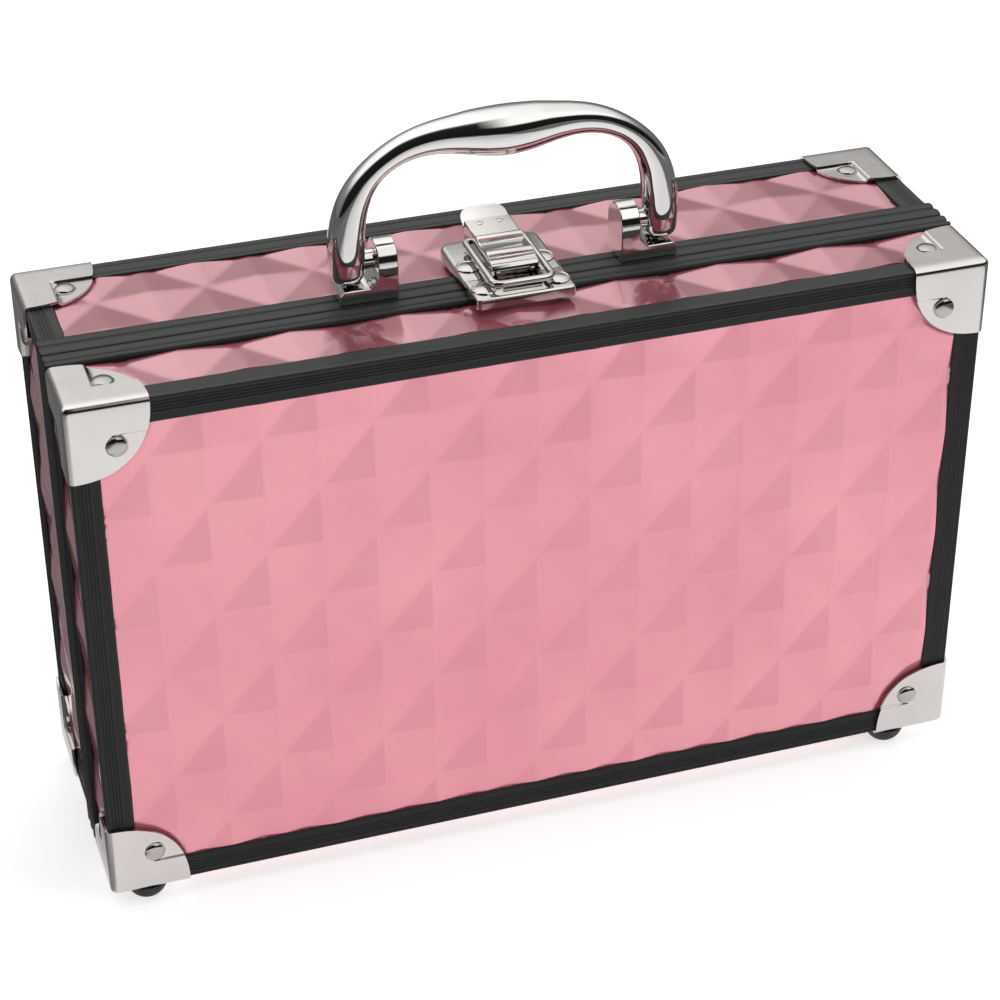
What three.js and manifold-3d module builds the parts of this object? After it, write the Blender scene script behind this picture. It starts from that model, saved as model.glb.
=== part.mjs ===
// Makeup train case: a two-shell carrying case with embossed panels in dark aluminium rails,
// steel corner caps, a cast arch handle and a draw latch on top, and two hinges underneath.
// Millimetres. +X runs along the length, the front (lid) faces -Y, +Z is up, feet stand on Z = 0.
import * as THREE from 'three';
import { mergeVertices } from 'three/addons/utils/BufferGeometryUtils.js';
import { RoundedBoxGeometry } from 'three/addons/geometries/RoundedBoxGeometry.js';
import Module from 'manifold-3d';

const wasm = await Module();
wasm.setup();

// ---------- driving sizes ----------
const LENGTH = 325; // over the corner caps
const DEPTH = 100; // over the corner caps
const HEIGHT = 200; // over the corner caps, without feet
const FOOT_HEIGHT = 7;
const SEAM_Y = -12; // the plane in which lid and base meet
const FIT = 0.3; // clearance kept between neighbouring pieces

// layers, as depth inwards from the outer plane of the corner caps
const CAP_SHEET = 0.9;
const RAIL_FACE = 1.2;
const RAIL_BACK = 2.4;
const RAIL_EDGE = 10.6; // inner edge of both legs of a rail
const PANEL_FACE = 2.7;
const PANEL_BACK = 6.7;
const LINING_FACE = 7.0;
const LINING_BACK = 8.2;

// embossed diamonds: half diagonals and height of a low pyramid
const DIAMOND_X = 19.1;
const DIAMOND_Z = 21.8;
const DIAMOND_RISE = 0.8;

// closure strips around the mouth of each shell
const STRIP_FACE = 0.3;
const BASE_STRIP_END = 0;
const LID_STRIP_END = -20.2;
const BASE_WEB_END = -10.25;
const LID_WEB = [-17.9, -16.3];

// corner caps
const CAP_LEG = 28.5;
const CAP_BULGE = 2.4; // exponent of the cap outline, 2 would be a quarter circle
const CAP_EDGE_RADIUS = 2.5;
const CAP_STEP = 11.3; // where the cap steps down onto the panel
const CAP_RIVET_AT = 16.5;
const CAP_RIVET_RADIUS = 3.6;

// rubber feet
const FOOT_X = { left: -148.5, right: 141 };
const FOOT_INSET_Y = 8;
const FOOT_RADIUS = 7.5;
const FOOT_SOLE = 3.2; // radius of the flat that touches the ground

// handle and its two brackets
const PIVOT_Y = -4.5;
const PIVOT_RISE = 12.6; // pivot height above the top of the corner caps
const BRACKET_INNER = 40;
const BRACKET_EAR = 7;
const BRACKET_OUTER = 60.5;
const BRACKET_HALF_DEPTH = 7.2;
const BRACKET_BASE = 5;
const BRACKET_CORNER = 3; // chamfer between block and ear
const HANDLE_PIN_RADIUS = 3.5;
const HANDLE_PIN_END = 56.5;

// latch
const KEEPER = { halfWidth: 17.7, front: -28.6, rear: -13 };
const LATCH_BASE = { halfWidth: 18, front: -11.8, rear: 16.5 };
const LATCH_PLATE = [2.3, 3.5]; // underside and top, above the caps
const LATCH_SHEET = 1.2;
const LATCH_RIVET = { radius: 3.9, height: 1.2, sides: 12 };
const KEEPER_RIVETS = [[-13.7, -21.5], [13.7, -21.5]];
const BASE_RIVETS = [[-13.7, -4.3], [13.7, -4.3]];
const SKIRT_END = -0.3; // how far the skirts over the panels reach, above the caps
const EAR_RADIUS = 1.9;
const EAR_SPAN = [5.6, 6.8]; // distance of both faces of an ear from the middle
const PIN_RADIUS = 1.1;
const LEVER_PIVOT = [-14, 6.5];
const LEVER_NOSE = 2.6;
const LEVER_HALF_WIDTH = 8.5;
const TAB = { inner: 6.8, outer: 8.7, corner: 4, thickness: 1, end: 22.8 }; // half widths, sheet
const BAIL_PIVOT_Y = 8.6;
const BAIL_BAR_Y = -25.2;
const BAIL_HALF_WIDTH = 10.6; // to the wire centre
const BAIL_WIRE = 1.2;

// hinges under the seam
const HINGE_CENTRES = [-100, 100];
const HINGE_HALF_WIDTH = 15;
const HINGE_BARREL = 1.4;
const HINGE_LEAF = 0.8;
const HINGE_KNUCKLE = 5; // half width of the lid's knuckle in the middle
const HINGE_PIN = 0.6;
const HINGE_REACH = { base: -2, lid: -19 }; // far edges of the leaves

const LEFT = -LENGTH / 2;
const RIGHT = LENGTH / 2;
const FRONT = -DEPTH / 2;
const BACK = DEPTH / 2;
const BOTTOM = FOOT_HEIGHT;
const TOP = FOOT_HEIGHT + HEIGHT;
const MIDDLE = (BOTTOM + TOP) / 2;
const HINGE_Z = BOTTOM - HINGE_BARREL;

// ---------- looks ----------
const FILM = { color: 0xe3a0ac, roughness: 0.32, metalness: 0.05 };
const RAIL = { color: 0x2e2e30, roughness: 0.45, metalness: 0.6 };
const CHROME = { color: 0xd6d6d8, roughness: 0.15, metalness: 1 };
const STEEL = { color: 0xb9babd, roughness: 0.3, metalness: 1 };
const RUBBER = { color: 0x18181a, roughness: 0.85, metalness: 0 };
const LINING = { color: 0x232326, roughness: 0.95, metalness: 0 };

// ---------- general helpers ----------
const group = new THREE.Group();

function add(name, geometry, look) {
  const material = new THREE.MeshStandardMaterial(look);
  const mesh = new THREE.Mesh(geometry, material);
  mesh.name = name;
  group.add(mesh);
}

function signedVolume(geometry) {
  const p = geometry.attributes.position;
  const index = geometry.index;
  const a = new THREE.Vector3();
  const b = new THREE.Vector3();
  const c = new THREE.Vector3();
  let sum = 0;
  for (let i = 0; i < index.count; i += 3) {
    a.fromBufferAttribute(p, index.getX(i));
    b.fromBufferAttribute(p, index.getX(i + 1));
    c.fromBufferAttribute(p, index.getX(i + 2));
    sum += a.dot(b.cross(c)) / 6;
  }
  return sum;
}

function indexed(positions, triangles) {
  const geometry = new THREE.BufferGeometry();
  geometry.setAttribute('position', new THREE.Float32BufferAttribute(positions, 3));
  geometry.setIndex(triangles);
  if (signedVolume(geometry) < 0) {
    for (let i = 0; i < triangles.length; i += 3) {
      [triangles[i], triangles[i + 1]] = [triangles[i + 1], triangles[i]];
    }
    geometry.setIndex(triangles);
  }
  geometry.computeVertexNormals();
  return geometry;
}

// moves every vertex through place(x, y, z), keeping faces outwards even when place mirrors
function placed(geometry, place) {
  const positions = [];
  const p = geometry.attributes.position;
  for (let i = 0; i < p.count; i += 1) {
    positions.push(...place(p.getX(i), p.getY(i), p.getZ(i)));
  }
  return indexed(positions, Array.from(geometry.index.array));
}

function solid(geometry) {
  const bare = geometry.clone();
  bare.deleteAttribute('normal');
  bare.deleteAttribute('uv');
  const merged = mergeVertices(bare, 1e-4);
  const mesh = new wasm.Mesh({
    numProp: 3,
    vertProperties: new Float32Array(merged.attributes.position.array),
    triVerts: new Uint32Array(merged.index.array),
  });
  return new wasm.Manifold(mesh);
}

function surface(body) {
  const mesh = body.getMesh();
  return indexed(Array.from(mesh.vertProperties), Array.from(mesh.triVerts));
}

function union(bodies) {
  return bodies.reduce((sum, body) => sum.add(body));
}

function block(lo, hi) {
  const size = hi.map((value, i) => value - lo[i]);
  const geometry = new THREE.BoxGeometry(...size);
  geometry.translate((lo[0] + hi[0]) / 2, (lo[1] + hi[1]) / 2, (lo[2] + hi[2]) / 2);
  return geometry;
}

const blockSolid = (lo, hi) => solid(block(lo, hi));

// closed run of a flat outline; ends(p, q) gives both end positions, place(p, q, w) the point
function run(outline, ends, place) {
  let contour = outline.map(([p, q]) => new THREE.Vector2(p, q));
  if (THREE.ShapeUtils.area(contour) < 0) contour = contour.reverse();
  const n = contour.length;
  const positions = [];
  for (const end of [0, 1]) {
    for (const v of contour) positions.push(...place(v.x, v.y, ends(v.x, v.y)[end]));
  }
  const triangles = [];
  for (const face of THREE.ShapeUtils.triangulateShape(contour, [])) {
    const corners = face.map((i) => contour[i]);
    const [a, b, c] = THREE.ShapeUtils.area(corners) < 0 ? [face[0], face[2], face[1]] : face;
    triangles.push(a, c, b, a + n, b + n, c + n);
  }
  for (let i = 0; i < n; i += 1) {
    const j = (i + 1) % n;
    triangles.push(i, j, j + n, i, j + n, i + n);
  }
  return indexed(positions, triangles);
}

const alongX = (outline, x0, x1) => run(outline, () => [x0, x1], (y, z, x) => [x, y, z]);
const alongY = (outline, y0, y1) => run(outline, () => [y0, y1], (x, z, y) => [x, y, z]);
const alongZ = (outline, z0, z1) => run(outline, () => [z0, z1], (x, y, z) => [x, y, z]);

function circle(cx, cy, radius, sides) {
  const points = [];
  for (let i = 0; i < sides; i += 1) {
    const angle = (2 * Math.PI * i) / sides;
    points.push([cx + radius * Math.cos(angle), cy + radius * Math.sin(angle)]);
  }
  return points;
}

function arc(cx, cy, radius, from, to, steps) {
  const points = [];
  for (let i = 0; i <= steps; i += 1) {
    const angle = ((from + ((to - from) * i) / steps) * Math.PI) / 180;
    points.push([cx + radius * Math.cos(angle), cy + radius * Math.sin(angle)]);
  }
  return points;
}

// rod along X through (y, z)
const rodX = (y, z, radius, x0, x1, sides = 14) => alongX(circle(y, z, radius, sides), x0, x1);

// low round head standing on z = 0 and sunk slightly below it
function rivetHead(radius, height, sides = 10) {
  const profile = [
    [0, -0.35],
    [radius, -0.35],
    [radius, height * 0.25],
    [radius * 0.65, height * 0.82],
    [0, height],
  ].map(([r, z]) => new THREE.Vector2(r, z));
  const geometry = new THREE.LatheGeometry(profile, sides);
  geometry.rotateX(Math.PI / 2);
  return geometry;
}

// tube along a flat path: stations hold the centre, the in-plane and the out-of-plane radius
function flatSweep(stations, sides, place) {
  const positions = [];
  const last = stations.length - 1;
  stations.forEach((station, i) => {
    const before = stations[Math.max(i - 1, 0)].at;
    const after = stations[Math.min(i + 1, last)].at;
    const tangent = new THREE.Vector2(after[0] - before[0], after[1] - before[1]).normalize();
    for (let k = 0; k < sides; k += 1) {
      const angle = (2 * Math.PI * (k + 0.5)) / sides;
      const reach = station.wide * Math.cos(angle);
      const side = station.deep * Math.sin(angle);
      const u = station.at[0] - tangent.y * reach;
      const v = station.at[1] + tangent.x * reach;
      positions.push(...place(u, v, side));
    }
  });
  const triangles = [];
  for (let i = 0; i < last; i += 1) {
    for (let k = 0; k < sides; k += 1) {
      const a = i * sides + k;
      const b = i * sides + ((k + 1) % sides);
      triangles.push(a, b, b + sides, a, b + sides, a + sides);
    }
  }
  for (let k = 1; k < sides - 1; k += 1) {
    triangles.push(0, k + 1, k);
    triangles.push(last * sides, last * sides + k, last * sides + k + 1);
  }
  return indexed(positions, triangles);
}

// ---------- embossed panels ----------
// flat board with low pyramids on its outer face, in face coordinates (u, v) and depth
function embossedPanel(board, opening, centre, keepOut) {
  const slab = block([board[0], board[2], PANEL_FACE], [board[1], board[3], PANEL_BACK]);
  const [u0, u1, v0, v1] = opening;
  const firstU = Math.floor((u0 - centre[0]) / DIAMOND_X);
  const lastU = Math.ceil((u1 - centre[0]) / DIAMOND_X);
  const firstV = Math.floor((v0 - centre[1]) / DIAMOND_Z);
  const lastV = Math.ceil((v1 - centre[1]) / DIAMOND_Z);
  const columns = lastU - firstU + 1;
  const rows = lastV - firstV + 1;
  const isTip = (i, j) => (i + j + firstU + firstV) % 2 === 0;
  const positions = [];
  const triangles = [];
  for (const layer of [0, 1]) {
    for (let j = 0; j < rows; j += 1) {
      for (let i = 0; i < columns; i += 1) {
        const rise = isTip(i, j) ? DIAMOND_RISE : 0.06;
        const depth = layer ? PANEL_FACE - rise : PANEL_FACE + 1;
        positions.push(centre[0] + (i + firstU) * DIAMOND_X);
        positions.push(centre[1] + (j + firstV) * DIAMOND_Z);
        positions.push(depth);
      }
    }
  }
  const at = (layer, i, j) => layer * rows * columns + j * columns + i;
  const quad = (a, b, c, d) => triangles.push(a, b, c, a, c, d);
  for (let j = 0; j < rows - 1; j += 1) {
    for (let i = 0; i < columns - 1; i += 1) {
      const [a, b, c, d] = [at(1, i, j), at(1, i + 1, j), at(1, i + 1, j + 1), at(1, i, j + 1)];
      if (isTip(i, j)) quad(b, a, d, c);
      else quad(a, d, c, b);
      quad(at(0, i, j), at(0, i + 1, j), at(0, i + 1, j + 1), at(0, i, j + 1));
    }
  }
  for (let i = 0; i < columns - 1; i += 1) {
    const j = rows - 1;
    quad(at(0, i, 0), at(1, i, 0), at(1, i + 1, 0), at(0, i + 1, 0));
    quad(at(0, i + 1, j), at(1, i + 1, j), at(1, i, j), at(0, i, j));
  }
  for (let j = 0; j < rows - 1; j += 1) {
    const i = columns - 1;
    quad(at(0, 0, j + 1), at(1, 0, j + 1), at(1, 0, j), at(0, 0, j));
    quad(at(0, i, j), at(1, i, j), at(1, i, j + 1), at(0, i, j + 1));
  }
  let relief = solid(indexed(positions, triangles));
  relief = relief.intersect(blockSolid([u0, v0, -2], [u1, v1, PANEL_FACE + 0.5]));
  for (const shape of keepOut) relief = relief.subtract(shape);
  return surface(solid(slab).add(relief));
}

// quarter outline of a corner cap with its corner at (u, v), grown by margin
function capOutline(u, v, signU, signV, margin) {
  const reach = CAP_LEG + margin;
  const points = [[u - signU * 2, v - signV * 2], [u + signU * reach, v - signV * 2]];
  const steps = 8;
  for (let i = 0; i <= steps; i += 1) {
    const angle = (Math.PI / 2) * (i / steps);
    const a = reach * Math.cos(angle) ** (2 / CAP_BULGE);
    const b = reach * Math.sin(angle) ** (2 / CAP_BULGE);
    points.push([u + signU * a, v + signV * b]);
  }
  points.push([u - signU * 2, v + signV * reach]);
  return points;
}

function capShadows(corners) {
  return corners.map(([u, v, su, sv]) => solid(alongZ(capOutline(u, v, su, sv, FIT), -3, PANEL_FACE)));
}

function addPanels(shell, faceY, inward, webEdge, stripEdge) {
  const wide = RIGHT - PANEL_FACE;
  const open = RIGHT - RAIL_EDGE - FIT;
  const low = BOTTOM + RAIL_EDGE + FIT;
  const high = TOP - RAIL_EDGE - FIT;
  const depthY = (d) => faceY + inward * d;

  // large face
  const faceCaps = capShadows([
    [LEFT, BOTTOM, 1, 1], [RIGHT, BOTTOM, -1, 1], [LEFT, TOP, 1, -1], [RIGHT, TOP, -1, -1],
  ]);
  const face = embossedPanel(
    [-wide, wide, BOTTOM + PANEL_FACE, TOP - PANEL_FACE],
    [-open, open, low, high],
    [-2.5, TOP - 24.3],
    faceCaps,
  );
  const faceName = shell === 'lid' ? 'lid_front_panel' : 'base_back_panel';
  add(faceName, placed(face, (u, v, d) => [u, depthY(d), v]), FILM);

  // panels around the edge run from the large face to the web of the closure strip
  const inner = depthY(LINING_FACE);
  const outerEdge = depthY(RAIL_EDGE + FIT);
  const span = [Math.min(inner, webEdge), Math.max(inner, webEdge)];
  const gapEdge = stripEdge + inward * -FIT;
  const shown = [Math.min(outerEdge, gapEdge), Math.max(outerEdge, gapEdge)];
  const capSign = -inward;
  const across = (a, b) => capShadows([
    [a, faceY, 1, -capSign], [b, faceY, -1, -capSign],
  ]);
  const levelBoard = [-wide, wide, ...span];
  const levelOpening = [-open, open, ...shown];
  const level = embossedPanel(levelBoard, levelOpening, [-4, 22.5], across(LEFT, RIGHT));
  add(`${shell}_top_panel`, placed(level, (u, v, d) => [u, v, TOP - d]), FILM);
  add(`${shell}_bottom_panel`, placed(level, (u, v, d) => [u, v, BOTTOM + d]), FILM);
  const upright = embossedPanel(
    [BOTTOM + LINING_FACE, TOP - LINING_FACE, ...span],
    [low, high, ...shown],
    [TOP - 24.3, 22.5],
    across(BOTTOM, TOP),
  );
  add(`${shell}_left_panel`, placed(upright, (u, v, d) => [LEFT + d, v, u]), FILM);
  add(`${shell}_right_panel`, placed(upright, (u, v, d) => [RIGHT - d, v, u]), FILM);
}

// ---------- rails ----------
// L section: the ribbed leg lies on depth p, the plain leg on depth q
function railSection() {
  const points = [[RAIL_FACE, 2.3]];
  for (let i = 0; i < 4; i += 1) {
    const q = 3.2 + 1.2 * i;
    points.push([RAIL_FACE + 0.3, q - 0.45], [RAIL_FACE, q - 0.2]);
    points.push([RAIL_FACE, q + 0.2], [RAIL_FACE + 0.3, q + 0.45]);
  }
  points.push([RAIL_FACE + 0.3, RAIL_EDGE], [RAIL_BACK, RAIL_EDGE], [RAIL_BACK, RAIL_BACK]);
  points.push([RAIL_EDGE, RAIL_BACK], [RAIL_EDGE, RAIL_FACE + 0.3], [8.7, RAIL_FACE + 0.3]);
  points.push([8.4, RAIL_FACE], [2.3, RAIL_FACE]);
  return points;
}

function addShellRails(shell, faceY, inward) {
  const section = railSection();
  const side = LENGTH / 2 - 2.8;
  const upright = HEIGHT / 2 - RAIL_EDGE - FIT;
  for (const [name, z, down] of [['top', TOP, -1], ['bottom', BOTTOM, 1]]) {
    const place = (p, q, w) => [w, faceY + inward * p, z + down * q];
    add(`${shell}_rail_${name}`, run(section, () => [-side, side], place), RAIL);
  }
  for (const [name, x, into] of [['left', LEFT, 1], ['right', RIGHT, -1]]) {
    const place = (p, q, w) => [x + into * q, faceY + inward * p, MIDDLE + w];
    add(`${shell}_rail_${name}`, run(section, () => [-upright, upright], place), RAIL);
  }
}

// short rails from the back rails to the closure strip; the lid's are wholly under its caps
function addBaseSideRails() {
  const section = railSection();
  const y0 = BASE_STRIP_END + FIT;
  const y1 = BACK - RAIL_EDGE - FIT;
  for (const [zName, z, down] of [['top', TOP, -1], ['bottom', BOTTOM, 1]]) {
    for (const [xName, x, into] of [['left', LEFT, 1], ['right', RIGHT, -1]]) {
      const place = (p, q, w) => [x + into * q, w, z + down * p];
      add(`base_side_rail_${zName}_${xName}`, run(section, () => [y0, y1], place), RAIL);
    }
  }
}

// ---------- closure strips ----------
function stripSection(shell, withTongue) {
  if (shell === 'lid') {
    return [
      [2.4, LID_STRIP_END], [0.9, LID_STRIP_END], [STRIP_FACE, LID_STRIP_END + 0.8],
      [STRIP_FACE, -17.6], [0.8, -17.4], [0.8, -16.8], [STRIP_FACE, -16.6],
      [STRIP_FACE, SEAM_Y - 0.65], [0.8, SEAM_Y - FIT / 2], [2.4, SEAM_Y - FIT / 2],
      [2.4, LID_WEB[1]], [LINING_BACK, LID_WEB[1]], [LINING_BACK, LID_WEB[0]], [2.4, LID_WEB[0]],
    ];
  }
  const seam = SEAM_Y + FIT / 2;
  const tongue = [[4.5, seam], [4.5, -15.5], [6.2, -15.5], [6.2, seam]];
  return [
    [2.4, BASE_STRIP_END], [0.9, BASE_STRIP_END], [0.9, -1.3], [STRIP_FACE, -1.7],
    [STRIP_FACE, -5.4], [0.8, -5.6], [0.8, -6.2], [STRIP_FACE, -6.4],
    [STRIP_FACE, seam + 0.5], [0.8, seam],
    ...(withTongue ? tongue : []),
    [LINING_BACK, seam], [LINING_BACK, BASE_WEB_END], [2.4, BASE_WEB_END],
  ];
}

function addClosureStrips(shell) {
  for (const [name, z, down] of [['top', TOP, -1], ['bottom', BOTTOM, 1]]) {
    const section = stripSection(shell, name === 'top');
    const ends = (d) => [-(LENGTH / 2 - d - FIT / 2), LENGTH / 2 - d - FIT / 2];
    add(`${shell}_closure_${name}`, run(section, ends, (d, y, w) => [w, y, z + down * d]), RAIL);
  }
  for (const [name, x, into] of [['left', LEFT, 1], ['right', RIGHT, -1]]) {
    const section = stripSection(shell, true);
    const ends = (d) => [-(HEIGHT / 2 - d - FIT / 2), HEIGHT / 2 - d - FIT / 2];
    const place = (d, y, w) => [x + into * d, y, MIDDLE + w];
    add(`${shell}_closure_${name}`, run(section, ends, place), RAIL);
  }
}

// ---------- corner caps ----------
// one cap in its own corner: a, b, c are the depths from the three outer planes
function cornerCap() {
  const outer = new RoundedBoxGeometry(60, 60, 60, 2, CAP_EDGE_RADIUS);
  outer.translate(30, 30, 30);
  const inner = new RoundedBoxGeometry(60, 60, 60, 1, CAP_EDGE_RADIUS - CAP_SHEET);
  inner.translate(30 + CAP_SHEET, 30 + CAP_SHEET, 30 + CAP_SHEET);
  const shell = solid(outer).subtract(solid(inner));
  const turns = [
    (a, b, c) => [a, b, c],
    (a, b, c) => [c, a, b],
    (a, b, c) => [b, c, a],
  ];
  const outline = capOutline(0, 0, 1, 1, 0);
  const turned = (geometry) => turns.map((turn) => solid(placed(geometry, turn)));
  const fans = turned(alongZ(outline, -1, CAP_EDGE_RADIUS + 0.2));
  const wall = CAP_STEP + CAP_SHEET;
  const padTop = 1.5;
  const wells = turned(block([wall, wall, -1], [40, 40, padTop]));
  const padBlock = solid(alongZ(outline, 0, padTop + CAP_SHEET))
    .intersect(blockSolid([CAP_STEP, CAP_STEP, 0], [40, 40, padTop + CAP_SHEET]));
  const pads = turned(surface(padBlock));
  const head = rivetHead(CAP_RIVET_RADIUS, 1.4, 8);
  const heads = turned(placed(head, (x, y, z) => [x + CAP_RIVET_AT, y + CAP_RIVET_AT, padTop - z]));
  let cap = shell.intersect(union(fans)).add(union(pads)).subtract(union(wells));
  cap = cap.add(union(heads));
  return surface(cap);
}

function addCornerCaps() {
  const cap = cornerCap();
  for (const [shell, y, inward] of [['lid', FRONT, 1], ['base', BACK, -1]]) {
    for (const [zName, z, down] of [['top', TOP, -1], ['bottom', BOTTOM, 1]]) {
      for (const [xName, x, into] of [['left', LEFT, 1], ['right', RIGHT, -1]]) {
        const place = (a, b, c) => [x + into * a, y + inward * b, z + down * c];
        add(`${shell}_corner_${zName}_${xName}`, placed(cap, place), CHROME);
      }
    }
  }
}

// ---------- feet and lining ----------
// rubber dome: a quarter ellipse cut off flat at the sole
function addFeet() {
  const top = BOTTOM - FIT;
  const cut = Math.acos(FOOT_SOLE / FOOT_RADIUS);
  const drop = top / Math.sin(cut);
  const points = [new THREE.Vector2(0, 0)];
  const steps = 6;
  for (let i = steps; i >= 0; i -= 1) {
    const angle = (cut * i) / steps;
    const height = Math.max(top - drop * Math.sin(angle), 0);
    points.push(new THREE.Vector2(FOOT_RADIUS * Math.cos(angle), height));
  }
  points.push(new THREE.Vector2(0, top));
  for (const [shell, y] of [['lid', FRONT + FOOT_INSET_Y], ['base', BACK - FOOT_INSET_Y]]) {
    for (const name of ['left', 'right']) {
      const foot = new THREE.LatheGeometry(points, 16);
      foot.rotateX(Math.PI / 2);
      foot.translate(FOOT_X[name], y, 0);
      add(`${shell}_foot_${name}`, placed(foot, (a, b, c) => [a, b, c]), RUBBER);
    }
  }
}

function addLining(shell, faceY, inward, webEdge) {
  const tray = (depth) => {
    const far = faceY + inward * depth;
    const mouth = depth === LINING_FACE ? webEdge : webEdge + inward * 5;
    return blockSolid(
      [LEFT + depth, Math.min(far, mouth), BOTTOM + depth],
      [RIGHT - depth, Math.max(far, mouth), TOP - depth],
    );
  };
  add(`${shell}_lining`, surface(tray(LINING_FACE).subtract(tray(LINING_BACK))), LINING);
}

// ---------- handle ----------
function addHandleBrackets() {
  const front = PIVOT_Y - BRACKET_HALF_DEPTH;
  const rear = PIVOT_Y + BRACKET_HALF_DEPTH;
  const pivotZ = TOP + PIVOT_RISE;
  const earFace = BRACKET_INNER + BRACKET_EAR;
  const ear = [[front, TOP], [rear, TOP], ...arc(PIVOT_Y, pivotZ, BRACKET_HALF_DEPTH, 0, 180, 10)];
  const foot = [
    [BRACKET_INNER, TOP], [BRACKET_OUTER, TOP], [BRACKET_OUTER, TOP + 3.4],
    [BRACKET_OUTER - 1.6, TOP + BRACKET_BASE], [earFace + BRACKET_CORNER, TOP + BRACKET_BASE],
    [earFace, TOP + BRACKET_BASE + BRACKET_CORNER], [BRACKET_INNER, TOP + BRACKET_BASE + BRACKET_CORNER],
  ];
  const screwHole = alongZ(circle(54, PIVOT_Y, 2.4, 12), TOP + 1.5, TOP + BRACKET_BASE + 1);
  const bracket = solid(alongX(ear, BRACKET_INNER, earFace))
    .add(solid(alongY(foot, front, rear)))
    .subtract(solid(screwHole))
    .add(solid(rodX(PIVOT_Y, pivotZ, HANDLE_PIN_RADIUS, BRACKET_INNER + 2, HANDLE_PIN_END, 16)));
  const right = surface(bracket);
  add('handle_bracket_right', right, CHROME);
  add('handle_bracket_left', placed(right, (x, y, z) => [-x, y, z]), CHROME);
}

// arch centre line and radii of the right half, heights above the caps
const HANDLE_HALF = [
  { at: [0, 53.1], wide: 8.4, deep: 8.4 },
  { at: [6, 53.3], wide: 8.1, deep: 8.1 },
  { at: [12, 53.7], wide: 7.4, deep: 7.4 },
  { at: [18, 53.9], wide: 6.4, deep: 6.5 },
  { at: [24, 53.8], wide: 5.6, deep: 5.8 },
  { at: [30, 53], wide: 5.0, deep: 5.3 },
  { at: [36, 51.2], wide: 4.5, deep: 4.9 },
  { at: [41.5, 48.4], wide: 4.2, deep: 4.8 },
  { at: [46.2, 44.8], wide: 4.3, deep: 4.8 },
  { at: [50, 40.4], wide: 4.8, deep: 4.9 },
  { at: [52.8, 35.4], wide: 5.4, deep: 5.2 },
  { at: [54.8, 29.4], wide: 5.9, deep: 5.5 },
  { at: [56, 22], wide: 6.3, deep: 5.9 },
  { at: [56.3, 14.5], wide: 6.4, deep: 6.2 },
  { at: [56.3, 10.5], wide: 6.2, deep: 6.0 },
  { at: [56.3, 7.6], wide: 5.0, deep: 4.9 },
  { at: [56.3, 6.2], wide: 2.6, deep: 2.6 },
];

function addHandle() {
  const mirrored = HANDLE_HALF.slice(1).reverse().map((s) => ({ ...s, at: [-s.at[0], s.at[1]] }));
  const stations = [...mirrored, ...HANDLE_HALF];
  let handle = solid(flatSweep(stations, 16, (x, z, y) => [x, PIVOT_Y + y, TOP + z]));
  for (const side of [-1, 1]) {
    const ends = [side * 40, side * (HANDLE_PIN_END + FIT)].sort((a, b) => a - b);
    const bore = rodX(PIVOT_Y, TOP + PIVOT_RISE, HANDLE_PIN_RADIUS + FIT, ...ends, 16);
    handle = handle.subtract(solid(bore));
  }
  add('handle', surface(handle), CHROME);
}

// ---------- latch ----------
// pressed sheet cover: flat top with skirts; the part over the panel reaches lower
function pressedCover(outline, inset, overStrip, overPanel) {
  const top = TOP + LATCH_PLATE[1];
  const under = TOP + LATCH_PLATE[0];
  const deep = TOP + SKIRT_END;
  const cover = solid(alongZ(outline, TOP, top)).subtract(solid(alongZ(inset, TOP - 1, under)));
  const skirt = solid(alongZ(outline, deep, TOP + 1)).subtract(solid(alongZ(inset, deep - 1, TOP + 2)));
  return cover.intersect(overStrip).add(cover.intersect(overPanel)).add(skirt.intersect(overPanel));
}

function roundedOutline(half, y0, y1, r0, r1) {
  return [
    ...arc(half - r0, y0 + r0, r0, 270, 360, 4),
    ...arc(half - r1, y1 - r1, r1, 0, 90, 4),
    ...arc(-half + r1, y1 - r1, r1, 90, 180, 4),
    ...arc(-half + r0, y0 + r0, r0, 180, 270, 4),
  ];
}

const latchRivet = (x, y) => {
  const head = rivetHead(LATCH_RIVET.radius, LATCH_RIVET.height, LATCH_RIVET.sides);
  head.translate(x, y, TOP + LATCH_PLATE[1]);
  return solid(head);
};

function addKeeper() {
  const { halfWidth, front, rear } = KEEPER;
  const outline = roundedOutline(halfWidth, front, rear, 1.6, 0.5);
  const inset = roundedOutline(halfWidth - LATCH_SHEET, front + LATCH_SHEET, rear + 2, 1, 0.4);
  const low = [-40, -60, TOP - 5];
  const overPanel = blockSolid(low, [40, LID_STRIP_END - 0.4, TOP + 9]);
  const overStrip = blockSolid([-40, LID_STRIP_END - 0.5, TOP], [40, 20, TOP + 9]);
  const hook = block([-7, BAIL_BAR_Y + 1.5, TOP + 3.2], [7, BAIL_BAR_Y + 3.3, TOP + 5]);
  const rivets = KEEPER_RIVETS.map(([x, y]) => latchRivet(x, y));
  const keeper = union([pressedCover(outline, inset, overStrip, overPanel), solid(hook), ...rivets]);
  add('latch_keeper', surface(keeper), CHROME);
}

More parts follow.
